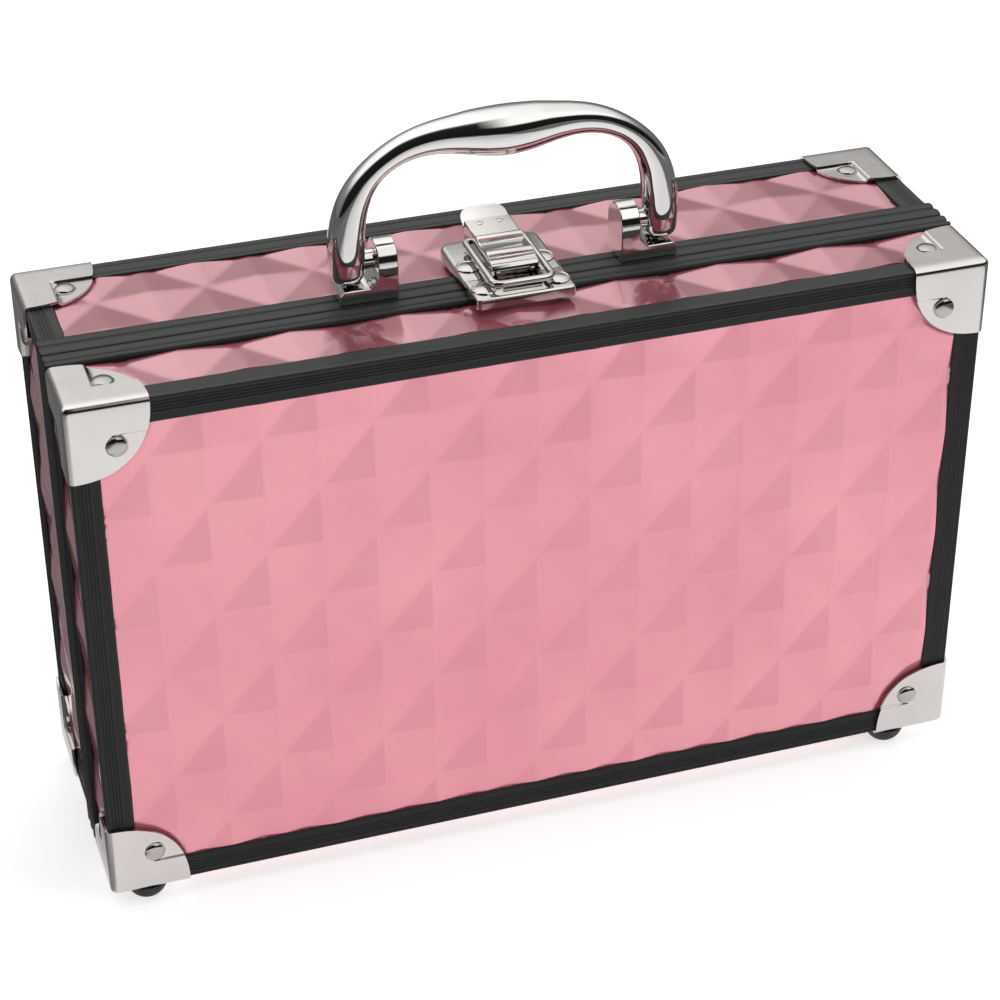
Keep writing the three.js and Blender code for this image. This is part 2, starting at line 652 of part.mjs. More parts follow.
function addLatchBase() {
  const { halfWidth, front, rear } = LATCH_BASE;
  const outline = roundedOutline(halfWidth, front, rear, 0.5, 4);
  const inset = roundedOutline(halfWidth - LATCH_SHEET, front - 2, rear - LATCH_SHEET, 0.4, 3);
  const overStrip = blockSolid([-40, -60, TOP], [40, BASE_STRIP_END + 0.5, TOP + 9]);
  const overPanel = blockSolid([-40, BASE_STRIP_END + 0.4, TOP - 5], [40, 60, TOP + 9]);
  const [py, pz] = [LEVER_PIVOT[0], TOP + LEVER_PIVOT[1]];
  const foot = TOP + 3;
  const ear = [
    [-6, foot], [-6, foot + 1.6],
    ...arc(py, pz, EAR_RADIUS, 80, 250, 6),
    [-11.6, foot + 1.1], [-11.6, foot],
  ];
  const bore = solid(rodX(py, pz, PIN_RADIUS + FIT, -10, 10, 12));
  const [near, far] = EAR_SPAN;
  const ears = [[-far, -near], [near, far]].map(([x0, x1]) => solid(alongX(ear, x0, x1)).subtract(bore));
  const rivets = BASE_RIVETS.map(([x, y]) => latchRivet(x, y));
  const base = union([pressedCover(outline, inset, overStrip, overPanel), ...ears, ...rivets]);
  add('latch_base', surface(base), CHROME);
  add('latch_pin', rodX(py, pz, PIN_RADIUS, -8.8, 8.8, 12), STEEL);
}

function addLever() {
  const [py, pz] = LEVER_PIVOT;
  const profile = [
    ...arc(py, pz, LEVER_NOSE, 270, 90, 8),
    [-12.6, 9.2], [-11.4, 10.3], [-9.4, 10.8], [-7.6, 10.5], [-0.9, 9.9], [0.6, 11.2], [2.8, 11.4],
    [4.2, 10.5], [15.5, 11.1], [15.5, 4.6], [14.6, 4], [-12, 4],
  ].map(([y, z]) => [y, TOP + z]);
  const barrel = rodX(py, TOP + pz, LEVER_NOSE, -5.2, 5.2, 16);
  const inside = [[-18, 3], [16, 3], [16, 9.6], [4.8, 9.4], [0, 8.9], [-7, 8.6], [-12, 8.1], [-18, 8.1]];
  const near = EAR_SPAN[0] - FIT;
  const far = EAR_SPAN[1] + FIT;
  const slot = (x0, x1) => blockSolid([x0, -18, TOP + 3], [x1, -11.6, pz + TOP + EAR_RADIUS + FIT]);
  const channel = solid(alongX(inside.map(([y, z]) => [y, TOP + z]), -7.2, 7.2));
  const hollow = union([channel, slot(-far, -near), slot(near, far)]);
  const lever = solid(alongX(profile, -LEVER_HALF_WIDTH, LEVER_HALF_WIDTH))
    .subtract(hollow)
    .add(solid(barrel))
    .subtract(solid(rodX(py, TOP + pz, PIN_RADIUS + FIT, -10, 10, 12)))
    .subtract(solid(rodX(BAIL_PIVOT_Y, TOP + pz, BAIL_WIRE + FIT, -10, 10, 12)));
  add('latch_lever', surface(lever), CHROME);
}

function addThumbTab() {
  const { inner, outer, corner, thickness, end } = TAB;
  const mid = [[3, 8.5], [15.8, 8.6], [17.2, 9], [19, 9.9], [20.9, 11], [end, 12.3]];
  const upper = mid.map(([y, z]) => [y, TOP + z + thickness / 2]);
  const lower = mid.map(([y, z]) => [y, TOP + z - thickness / 2]);
  const profile = [...upper, ...lower.reverse()];
  const behindLever = blockSolid([-outer, 15.8, TOP], [outer, end + 1, TOP + 20]);
  const inChannel = solid(alongX(profile, -inner, inner));
  const outside = solid(alongX(profile, -outer, outer)).intersect(behindLever);
  const rounded = solid(alongZ(roundedOutline(outer, 0, end + 0.1, 0.5, corner), TOP, TOP + 20));
  const shaped = inChannel.add(outside).intersect(rounded);
  add('latch_thumb_tab', surface(shaped), CHROME);
}

function addBail() {
  const rear = BAIL_PIVOT_Y;
  const bend = 2.6;
  const w = BAIL_HALF_WIDTH;
  const rightHalf = [
    [0, BAIL_BAR_Y],
    ...arc(w - bend, BAIL_BAR_Y + bend, bend, 270, 360, 4),
    ...arc(w - 1.5, rear - 1.5, 1.5, 0, 90, 3),
    [7.6, rear],
  ];
  const leftHalf = rightHalf.slice(1).reverse().map(([x, y]) => [-x, y]);
  const stations = [...leftHalf, ...rightHalf].map((at) => ({ at, wide: BAIL_WIRE, deep: BAIL_WIRE }));
  add('latch_bail', flatSweep(stations, 10, (x, y, z) => [x, y, TOP + LEVER_PIVOT[1] + z]), CHROME);
}

// ---------- hinges ----------
function hingeHeads(centre, y) {
  const leafZ = BOTTOM - HINGE_LEAF;
  return [-9, 9].map((x) => {
    const head = placed(rivetHead(1.9, 0.7, 8), (a, b, c) => [a + centre + x, b + y, leafZ - c]);
    return solid(head);
  });
}

function addHinges() {
  HINGE_CENTRES.forEach((centre, i) => {
    const name = i === 0 ? 'left' : 'right';
    const at = (x) => centre + x;
    const barrel = (x0, x1, radius) => solid(rodX(SEAM_Y, HINGE_Z, radius, at(x0), at(x1), 14));
    const half = HINGE_HALF_WIDTH;
    const knuckle = HINGE_KNUCKLE;
    const outerKnuckle = knuckle + FIT;
    const leaf = (x0, x1, y0, y1) => blockSolid([at(x0), y0, BOTTOM - HINGE_LEAF], [at(x1), y1, BOTTOM]);
    const base = union([
      leaf(-half, half, SEAM_Y + 1.7, HINGE_REACH.base),
      leaf(-half, -outerKnuckle, SEAM_Y, SEAM_Y + 2),
      leaf(outerKnuckle, half, SEAM_Y, SEAM_Y + 2),
      barrel(-half, -outerKnuckle, HINGE_BARREL),
      barrel(outerKnuckle, half, HINGE_BARREL),
      barrel(-half + 1, half - 1, HINGE_PIN),
      ...hingeHeads(centre, -5.4),
    ]);
    const bore = barrel(-knuckle - 1, knuckle + 1, HINGE_PIN + FIT);
    const lidKnuckle = barrel(-knuckle, knuckle, HINGE_BARREL).subtract(bore);
    const lidArm = leaf(-knuckle, knuckle, SEAM_Y - 2, SEAM_Y).subtract(bore);
    const lidLeaf = leaf(-half, half, HINGE_REACH.lid, SEAM_Y - 1.7);
    const lid = union([lidKnuckle, lidArm, lidLeaf, ...hingeHeads(centre, -16.6)]);
    add(`base_hinge_${name}`, surface(base), STEEL);
    add(`lid_hinge_${name}`, surface(lid), STEEL);
  });
}

// ---------- assembly ----------
addPanels('base', BACK, -1, BASE_WEB_END + FIT, BASE_STRIP_END);
addPanels('lid', FRONT, 1, LID_WEB[0] - FIT, LID_STRIP_END);
addShellRails('base', BACK, -1);
addShellRails('lid', FRONT, 1);
addBaseSideRails();
addClosureStrips('base');
addClosureStrips('lid');
addCornerCaps();
addFeet();
addLining('base', BACK, -1, BASE_WEB_END + FIT);
addLining('lid', FRONT, 1, LID_WEB[0] - FIT);
addHandleBrackets();
addHandle();
addKeeper();
addLatchBase();
addLever();
addThumbTab();
addBail();
addHinges();

export default group;
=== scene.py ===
"""Makeup train case: the looks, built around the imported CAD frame.

Builders work in millimetres in the frame of the CAD model; new_piece() turns them into metres.
"""
import math
import random

import bmesh
import bpy
import numpy as np
from mathutils import Matrix, Vector


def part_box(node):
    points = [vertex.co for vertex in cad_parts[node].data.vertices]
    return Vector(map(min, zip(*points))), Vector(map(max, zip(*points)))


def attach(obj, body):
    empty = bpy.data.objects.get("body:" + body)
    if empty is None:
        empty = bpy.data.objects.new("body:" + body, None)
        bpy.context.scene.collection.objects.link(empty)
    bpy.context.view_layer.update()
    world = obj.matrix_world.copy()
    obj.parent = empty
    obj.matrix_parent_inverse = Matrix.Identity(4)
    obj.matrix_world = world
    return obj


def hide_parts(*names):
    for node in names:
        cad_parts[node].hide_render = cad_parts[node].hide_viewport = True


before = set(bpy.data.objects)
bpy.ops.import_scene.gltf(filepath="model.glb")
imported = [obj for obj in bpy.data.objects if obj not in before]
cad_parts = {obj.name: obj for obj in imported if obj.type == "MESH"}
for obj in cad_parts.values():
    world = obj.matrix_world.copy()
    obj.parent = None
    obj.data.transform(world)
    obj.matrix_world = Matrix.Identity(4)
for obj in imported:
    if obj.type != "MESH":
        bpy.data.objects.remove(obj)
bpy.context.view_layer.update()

MM = 0.001
FIT = 0.15  # half the gap between neighbours

# ---------- planes taken from the frame, in millimetres ----------


def plane(node, side, axis):
    """Lowest (side 0) or highest (side 1) coordinate of a CAD node along one axis."""
    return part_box(node)[side][axis] / MM


def middle(node, axis):
    return (plane(node, 0, axis) + plane(node, 1, axis)) / 2


LEFT = plane("lid_corner_top_left", 0, 0)
RIGHT = plane("lid_corner_top_right", 1, 0)
FRONT = plane("lid_corner_top_left", 0, 1)
BACK = plane("base_corner_top_left", 1, 1)
BOTTOM = plane("lid_corner_bottom_left", 0, 2)
TOP = plane("lid_corner_top_left", 1, 2)
SEAM_Y = plane("lid_closure_top", 1, 1) + FIT
BASE_STRIP_END = plane("base_closure_top", 1, 1)
LID_STRIP_END = plane("lid_closure_top", 0, 1)
MIDDLE_Z = (TOP + BOTTOM) / 2
# outer planes, with the direction into the case
ENDS = (("top", TOP, -1), ("bottom", BOTTOM, 1))
SIDES = (("left", LEFT, 1), ("right", RIGHT, -1))

# ---------- layers, as depth inwards from the outer planes ----------
RAIL_BACK = 2.4
RAIL_EDGE = 10.6
PANEL_FACE = 2.7
PANEL_BACK = 6.7
LINING_FACE = 7.0
LINING_BACK = 8.2
# the webs of the closure strips, along y
BASE_WEB_END = -10.25
LID_WEB = (-17.9, -16.3)

# ---------- embossing ----------
DIAMOND_X = 19.1
DIAMOND_Z = 21.8
DIAMOND_RISE = 1.3
DIAMOND_STEPS = 20
RIDGE_SOFTNESS = 0.004
# one tip of the pattern on the large faces (x, z), on top and bottom (x, y), on the ends (z, y)
LARGE_TIP = (-2.5, TOP - 24.3)
FLAT_TIP = (-4.0, 22.5)
END_TIP = (TOP - 24.3, 22.5)
# strength of the painted shade on one side of each diamond, for each face of the case
PAINTED_SHADE_BY_FACE = {"front": 1.0, "back": 1.0, "left": 0.8, "right": 0.8, "bottom": 0.8, "top": 0.15}

# ---------- corner caps ----------
CAP_LEG = 28.5
CAP_BULGE = 2.4
CAP_RADIUS = 2.5
CAP_SHEET = 0.9
CAP_STEP = 11.0
CAP_STEP_DEPTH = 1.4
CAP_RIVET_AT = 16.5
CAP_RIVET = 4.0
CAP_RIVET_RISE = 1.6
# how gently a cap steps down onto the panel, along both directions of its top, large and side
# face, and how deep the step is there
CAP_SOFT = {
    "top": (1.8, 0.6, CAP_STEP_DEPTH),
    "large": (9.0, 0.6, 0.55),
    "side": (0.7, 0.7, CAP_STEP_DEPTH),
}

# ---------- mesh helpers ----------


def smooth_step(x):
    x = np.clip(x, 0.0, 1.0)
    return x * x * (3 - 2 * x)


def shell_of(node):
    """Body of a node of the lid or the base, by the first word of its name."""
    return node.split("_")[0] + "_shell"


def finish_piece(name, mesh, merge, sharp, body, look, nodes, join_flats=False):
    """Cleans up a mesh and makes it a piece that stands in for CAD nodes."""
    work = bmesh.new()
    work.from_mesh(mesh)
    bmesh.ops.remove_doubles(work, verts=work.verts, dist=merge)
    if join_flats:
        flat = math.radians(1.0)
        bmesh.ops.dissolve_limit(work, angle_limit=flat, verts=work.verts, edges=work.edges)
    bmesh.ops.recalc_face_normals(work, faces=work.faces)
    work.to_mesh(mesh)
    work.free()
    mesh.polygons.foreach_set("use_smooth", [True] * len(mesh.polygons))
    mesh.set_sharp_from_angle(angle=math.radians(sharp))
    mesh.materials.clear()
    mesh.materials.append(look)
    piece = bpy.data.objects.new(name, mesh)
    bpy.context.scene.collection.objects.link(piece)
    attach(piece, body)
    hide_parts(*nodes)
    return piece


def new_piece(name, points, faces, body, slot, look, nodes, sharp, fields=None):
    """A closed mesh from points in millimetres; fields are per-point values that its look reads."""
    mesh = bpy.data.meshes.new(name)
    mesh.from_pydata([(x * MM, y * MM, z * MM) for x, y, z in points], [], faces)
    for field, values in (fields or {}).items():
        values = np.asarray(values, float)
        if values.ndim == 1:
            mesh.attributes.new(field, "FLOAT", "POINT").data.foreach_set("value", values)
        else:
            vectors = mesh.attributes.new(field, "FLOAT_VECTOR", "POINT").data
            vectors.foreach_set("vector", values.ravel())
    return finish_piece(name, mesh, 2e-6, sharp, body, look, nodes)


def soften(piece, width, segments=3, limit=30):
    """Rounds the edges sharper than limit degrees by width millimetres."""
    bevel = piece.modifiers.new("soft_edges", "BEVEL")
    bevel.width = width * MM
    bevel.segments = segments
    bevel.limit_method = "ANGLE"
    bevel.angle_limit = math.radians(limit)
    bevel.harden_normals = True
    bevel.use_clamp_overlap = True
    return piece


def refined(node, body, look, width):
    """A copy of a CAD node with flat regions joined up and its edges rounded."""
    name = node + "_fine"
    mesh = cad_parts[node].data.copy()
    mesh.name = name
    piece = finish_piece(name, mesh, 5e-6, 35, body, look, (node,), join_flats=True)
    return soften(piece, width)


def dress(node, look, width=0.0):
    """Keeps a CAD node as it is, with a better material and, where asked, rounded edges."""
    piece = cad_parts[node]
    piece.data.materials.clear()
    piece.data.materials.append(look)
    if width:
        weld = piece.modifiers.new("weld", "WELD")
        weld.merge_threshold = 5e-6
        soften(piece, width, 2)


def fillet(outline, radius, steps=3):
    """Rounds the corners of a closed outline; returns the points and how exposed each is, 0 to 1."""
    n = len(outline)
    corners = [Vector(p) for p in outline]
    area = sum(a.x * b.y - b.x * a.y for a, b in zip(corners, corners[1:] + corners[:1]))
    turn = 1 if area > 0 else -1
    points = []
    wear = []
    for i in range(n):
        before, here, after = corners[i - 1], corners[i], corners[(i + 1) % n]
        to_before, to_after = before - here, after - here
        reach = min(radius, 0.42 * to_before.length, 0.42 * to_after.length)
        start = here + to_before.normalized() * reach
        end = here + to_after.normalized() * reach
        convex = turn * (to_after.x * to_before.y - to_after.y * to_before.x) > 0
        for k in range(steps + 1):
            t = k / steps
            points.append(tuple(start * (1 - t) ** 2 + here * 2 * t * (1 - t) + end * t * t))
            wear.append(4 * t * (1 - t) if convex else 0.0)
    return points, wear


def tube_faces(rings, n):
    """Faces through rings of n points each, with a face over the first ring and the last."""
    faces = [list(range(n)), [(rings - 1) * n + i for i in range(n)]]
    for k in range(rings - 1):
        for i in range(n):
            j = (i + 1) % n
            faces.append([k * n + i, k * n + j, (k + 1) * n + j, (k + 1) * n + i])
    return faces


def loft(rings):
    """Body through rings of equally many points."""
    return [point for ring in rings for point in ring], tube_faces(len(rings), len(rings[0]))


def extrusion(outline, wear, ends, place):
    """Points, faces and fields of an outline drawn out from ends(p, q)[0] to ends(p, q)[1]."""
    around = [0.0]
    for a, b in zip(outline, outline[1:]):
        around.append(around[-1] + math.dist(a, b))
    points = []
    grain = []
    for end in (0, 1):
        for (p, q), s in zip(outline, around):
            w = ends(p, q)[end]
            points.append(place(p, q, w))
            grain.append((w, s, 0.0))
    return points, tube_faces(2, len(outline)), {"grain": grain, "wear": wear * 2}


def joined(*parts):
    """Several (points, faces) islands as one."""
    points = []
    faces = []
    for some_points, some_faces in parts:
        start = len(points)
        points.extend(some_points)
        faces.extend([[start + i for i in face] for face in some_faces])
    return points, faces


def directions(path):
    """Unit direction of an open plane path at each of its points."""
    neighbours = zip([path[0], *path], [*path[1:], path[-1]])
    return [Vector((b[0] - a[0], b[1] - a[1])).normalized() for a, b in neighbours]


def oval(wide, deep, sides, power=1.0, phase=0.0):
    """Points of a round section; a power below 1 makes it squarer than an ellipse."""
    points = []
    for k in range(sides):
        angle = 2 * math.pi * (k + phase) / sides
        c, s = math.cos(angle), math.sin(angle)
        across = wide * math.copysign(abs(c) ** power, c)
        points.append((across, deep * math.copysign(abs(s) ** power, s)))
    return points


def swept(path, section, place):
    """Body along a plane path; section(row) lies across the path at each of its rows."""
    rings = []
    for row, along in zip(path, directions(path)):
        rings.append([place(row[0] - along.y * p, row[1] + along.x * p, q) for p, q in section(row)])
    return loft(rings)


def lathe(profile, sides, place):
    """Closed round body from a (radius, height) profile that starts and ends on the axis."""
    points = [place(0, 0, profile[0][1])]
    for radius, height in profile[1:-1]:
        points += [place(a, b, height) for a, b in oval(radius, radius, sides)]
    points.append(place(0, 0, profile[-1][1]))
    last = len(points) - 1
    rings = len(profile) - 2
    faces = []
    for k in range(sides):
        j = (k + 1) % sides
        faces.append([0, 1 + j, 1 + k])
        faces.append([last, 1 + (rings - 1) * sides + k, 1 + (rings - 1) * sides + j])
        for i in range(rings - 1):
            a = 1 + i * sides
            faces.append([a + k, a + j, a + sides + j, a + sides + k])
    return points, faces


def dome_profile(radius, height, sunk):
    """A rivet head: low ball cap on a thin flange."""
    rim = 0.25
    profile = [(0, -sunk), (radius, -sunk), (radius, rim * 0.5), (radius - 0.15, rim)]
    inner = radius - 0.4
    for k in range(9):
        angle = math.pi / 2 * k / 8
        profile.append((inner * math.cos(angle), rim + (height - rim) * math.sin(angle) ** 0.9))
    profile[-1] = (0, height)
    return profile


# ---------- materials ----------


class Nodes:
    """Short calls for the nodes of one tree; values are numbers, colours or outputs of nodes."""

    def __init__(self, tree):
        self.tree = tree

    def feed(self, socket, value):
        if isinstance(value, bpy.types.NodeSocket):
            self.tree.links.new(value, socket)
        else:
            socket.default_value = value

    def node(self, kind, inputs):
        node = self.tree.nodes.new(kind)
        for name, value in inputs.items():
            self.feed(node.inputs[name], value)
        return node

    def remap(self, value, low, high, to_low, to_high):
        numbers = {"From Min": low, "From Max": high, "To Min": to_low, "To Max": to_high}
        return self.node("ShaderNodeMapRange", {"Value": value, **numbers}).outputs["Result"]

    def ramp(self, *values):
        """remap() with a gentle start and end."""
        result = self.remap(*values)
        result.node.interpolation_type = "SMOOTHSTEP"
        return result

    def split(self, source):
        return self.node("ShaderNodeSeparateXYZ", {0: source}).outputs

    def math(self, operation, a, b):
        node = self.node("ShaderNodeMath", {0: a, 1: b})
        node.operation = operation
        return node.outputs["Value"]

    def mix(self, factor, a, b):
        """Colour a where the factor is 0, colour b where it is 1."""
        node = self.node("ShaderNodeMix", {})
        node.data_type = "RGBA"
        self.feed(node.inputs["Factor"], factor)
        for socket, value in zip([s for s in node.inputs if s.type == "RGBA"], (a, b)):
            self.feed(socket, (*value, 1) if isinstance(value, tuple) else value)
        return [s for s in node.outputs if s.type == "RGBA"][0]


class Look(Nodes):
    """A material being built around its Principled shader."""

    def __init__(self, name, colour, roughness, metallic=0.0):
        self.material = bpy.data.materials.new(name)
        self.material.use_nodes = True
        super().__init__(self.material.node_tree)
        self.shader = self.tree.nodes["Principled BSDF"]
        self.set("Base Color", (*colour, 1))
        self.set("Roughness", roughness)
        self.set("Metallic", metallic)
        self.coordinates = self.node("ShaderNodeTexCoord", {}).outputs
        self.where = self.coordinates["Object"]

    def set(self, socket, value):
        self.feed(self.shader.inputs[socket], value)

    def field(self, name, vector=False):
        """A per-point value of the mesh."""
        node = self.node("ShaderNodeAttribute", {})
        node.attribute_name = name
        return node.outputs["Vector" if vector else "Fac"]

    def stretched(self, source, scale):
        return self.node("ShaderNodeMapping", {"Vector": source, "Scale": scale}).outputs["Vector"]

    def noise(self, scale, detail, source=None, rough=0.5):
        numbers = {"Scale": scale, "Detail": detail, "Roughness": rough}
        node = self.node("ShaderNodeTexNoise", {"Vector": source or self.where, **numbers})
        return node.outputs["Fac"]

    def bump(self, height, strength, distance, below=None):
        """Bump on the shader's normal, over an earlier bump if there is one."""
        numbers = {"Strength": strength, "Distance": distance}
        node = self.node("ShaderNodeBump", {"Height": height, **numbers})
        if below is not None:
            self.feed(node.inputs["Normal"], below)
        self.set("Normal", node.outputs["Normal"])
        return node.outputs["Normal"]


def film_look():
    """Pearly pink film: cloudy pigment, paler pressed lines, faint wrinkles, painted shade on one side
    of each diamond, a glossy top coat.
    """
    deep, pale = (0.62, 0.160, 0.215), (0.68, 0.205, 0.255)
    worn, shaded = (0.80, 0.42, 0.46), (0.49, 0.095, 0.15)
    look = Look("pearl_film", pale, 0.24, 0.3)
    clouds = look.remap(look.noise(16, 3), 0.35, 0.65, 0.0, 1.0)
    pigment = look.mix(clouds, deep, pale)
    rubbed = look.remap(look.noise(60, 2), 0.4, 0.7, 0.0, 0.04)
    lines = look.math("MULTIPLY", look.field("ridge"), rubbed)
    # painted shade: one side of each diamond is tinted a darker, deeper pink, in patches of varying
    # strength
    patches = look.remap(look.noise(18, 2), 0.35, 0.65, 0.14, 0.36)
    thin = look.math("MULTIPLY", look.field("painted_shade"), patches)
    look.set("Base Color", look.mix(lines, look.mix(thin, pigment, shaded), worn))
    look.set("Roughness", look.remap(look.noise(45, 4), 0.3, 0.7, 0.15, 0.24))
    look.set("Coat Weight", 1.0)
    look.set("Coat IOR", 1.85)
    look.set("Coat Roughness", 0.07)
    look.set("Specular IOR Level", 0.9)
    look.bump(look.noise(1.0, 3, look.stretched(look.where, (55, 55, 110))), 0.08, 0.0005)
    return look.material


def rail_look():
    """Black anodised aluminium: drawn lines along it, rubbed ribs, faces that look up painted lighter
    as a painted sheen.
    """
    look = Look("anodised_rail", (0.008, 0.008, 0.009), 0.4)
    lines = look.noise(1.0, 4, look.stretched(look.field("grain", True), (0.02, 9.0, 1.0)), 0.7)
    specks = look.noise(220, 3)
    black = look.mix(look.remap(lines, 0.3, 0.7, 0, 1), (0.005, 0.005, 0.0055), (0.012, 0.012, 0.013))
    rubbed = look.math("MULTIPLY", look.field("wear"), look.remap(specks, 0.35, 0.75, 0.1, 0.6))
    metal = look.mix(rubbed, black, (0.035, 0.035, 0.037))
    # painted sheen: faces that look up are mixed to a lighter grey, streaked by the drawn lines
    upward = look.remap(look.split(look.coordinates["Normal"])[2], 0.75, 1.0, 0.0, 1.0)
    painted_top_sheen = look.math("MULTIPLY", upward, look.remap(lines, 0.25, 0.7, 0.6, 1.0))
    look.set("Base Color", look.mix(painted_top_sheen, metal, (0.062, 0.061, 0.060)))
    look.set("Roughness", look.remap(lines, 0.3, 0.7, 0.34, 0.5))
    look.set("Specular IOR Level", 0.22)
    first = look.bump(lines, 0.18, 0.00008)
    look.bump(look.noise(900, 2), 0.05, 0.00005, first)
    return look.material


def plated_look(name, colour, low, high, scratch, ripple):
    """Bright plated metal: slight ripple of the pressing, hairline scratches and finger marks."""
    look = Look(name, colour, low, 1.0)
    smears = look.noise(38, 4)
    dim = tuple(c * 0.9 for c in colour)
    plate = look.mix(look.remap(smears, 0.3, 0.7, 0, 1), dim, colour)
    look.set("Base Color", look.mix(look.field("dull"), plate, tuple(c * 0.66 for c in colour)))
    hair = look.noise(1.0, 5, look.stretched(look.where, (1900, 260, 700)), 0.75)
    rough = look.remap(smears, 0.3, 0.7, low, high)
    look.set("Roughness", look.math("ADD", rough, look.remap(hair, 0.62, 0.8, 0.0, scratch)))
    first = look.bump(look.noise(70, 2), ripple, 0.0004)
    look.bump(hair, 0.02, 0.00003, first)
    return look.material


def rubber_look():
    """Matt moulded rubber with a fine grain and some dust."""
    look = Look("foot_rubber", (0.016, 0.016, 0.017), 0.7)
    dust = look.remap(look.noise(120, 4), 0.45, 0.75, 0.0, 0.5)
    look.set("Base Color", look.mix(dust, (0.013, 0.013, 0.014), (0.05, 0.048, 0.046)))
    look.set("Roughness", look.remap(look.noise(300, 3), 0.3, 0.7, 0.55, 0.85))
    look.bump(look.noise(1500, 3), 0.3, 0.0001)
    return look.material


def cloth_look():
    """Dark woven lining: two crossing threads."""
    look = Look("lining_cloth", (0.02, 0.02, 0.022), 0.95)
    threads = []
    for direction in ("X", "Z"):
        wave = look.node("ShaderNodeTexWave", {"Vector": look.where, "Scale": 420, "Distortion": 0.6})
        wave.bands_direction = direction
        threads.append(wave.outputs["Fac"])
    weave = look.math("MULTIPLY", *threads)
    look.set("Base Color", look.mix(weave, (0.012, 0.012, 0.013), (0.035, 0.034, 0.037)))
    look.set("Roughness", look.remap(look.noise(90, 3), 0.3, 0.7, 0.85, 1.0))
    look.bump(weave, 0.4, 0.0002)
    return look.material


FILM = film_look()
RAIL = rail_look()
CAP = plated_look("cap_plating", (0.62, 0.60, 0.585), 0.09, 0.16, 0.10, 0.2)
CHROME = plated_look("handle_chrome", (0.70, 0.69, 0.68), 0.03, 0.06, 0.05, 0.10)
PRESSED = plated_look("latch_plating", (0.62, 0.595, 0.57), 0.05, 0.11, 0.10, 0.42)
WIRE = plated_look("bail_wire", (0.64, 0.62, 0.60), 0.08, 0.14, 0.10, 0.15)
HINGE = plated_look("hinge_steel", (0.50, 0.50, 0.51), 0.25, 0.38, 0.2, 0.2)
RUBBER = rubber_look()
LINING = cloth_look()

# ---------- embossed panels ----------


def pressed_wave(t):
    """0 at even and 1 at odd numbers, straight between them, with softly rounded turns."""
    return np.arccos((1 - RIDGE_SOFTNESS) * np.cos(np.pi * t)) / np.pi


def unevenness(u, v, seed):
    """Slow waves of the board and film, in millimetres."""
    draw = random.Random(seed)
    total = np.zeros_like(u)
    for length, height in ((95, 0.05), (60, 0.035), (42, 0.025), (27, 0.014), (17, 0.008)):
        for _ in range(2):
            angle = draw.uniform(0, math.pi)
            phase = draw.uniform(0, 2 * math.pi)
            along = u * math.cos(angle) + v * math.sin(angle)
            total += height * np.sin(2 * math.pi * along / length + phase)
    return total


def relief(u, v, seed):
    """Height of the embossing, nearness to its pressed lines, and where one side of each diamond takes
    a painted shade.
    """
    p = u / DIAMOND_X + v / DIAMOND_Z
    q = u / DIAMOND_X - v / DIAMOND_Z
    a, b = pressed_wave(p), pressed_wave(q)
    sharpness = 14
    steep = (a**sharpness + b**sharpness) ** (1 / sharpness)
    draw = random.Random(seed)
    lean = 1 + 0.10 * np.sin(u / 31 + draw.uniform(0, 6)) * np.sin(v / 27 + draw.uniform(0, 6))
    height = DIAMOND_RISE * lean * (1 - steep)
    ridge = np.clip(1 - np.abs(a - b) / 0.07, 0, 1) * np.clip((1 - steep) * 6, 0, 1)
    # the side of each diamond that gets the painted shade
    from_tip_p = p - 2 * np.round(p / 2)
    from_tip_q = q - 2 * np.round(q / 2)
    painted_shade = (from_tip_p + from_tip_q < -0.01) & (from_tip_p - from_tip_q > 0.01)
    return height, ridge, painted_shade * np.clip((1 - steep) * 14, 0, 1)


def grid_lines(board, opening, tip, cell):
    """Grid positions: both edges of the board and the opening, and steps in phase with the tips."""
    step = cell / DIAMOND_STEPS
    clear, lip = 0.3, 0.05
    first = math.ceil((opening[0] + clear - tip) / step)
    last = math.floor((opening[1] - clear - tip) / step)
    inner = [tip + step * k for k in range(first, last + 1)]
    return [board[0], opening[0] - lip, opening[0], *inner, opening[1], opening[1] + lip, board[1]]


def cap_shadow(u, v, corners):
    """1 away from the corner caps, falling to 0 where a cap presses the film down."""
    open_field = np.ones_like(u)
    for cu, cv in corners:
        reach = (np.abs(u - cu) ** CAP_BULGE + np.abs(v - cv) ** CAP_BULGE) ** (1 / CAP_BULGE)
        open_field *= smooth_step((reach - CAP_LEG + 0.3) / 2.2)
    return open_field


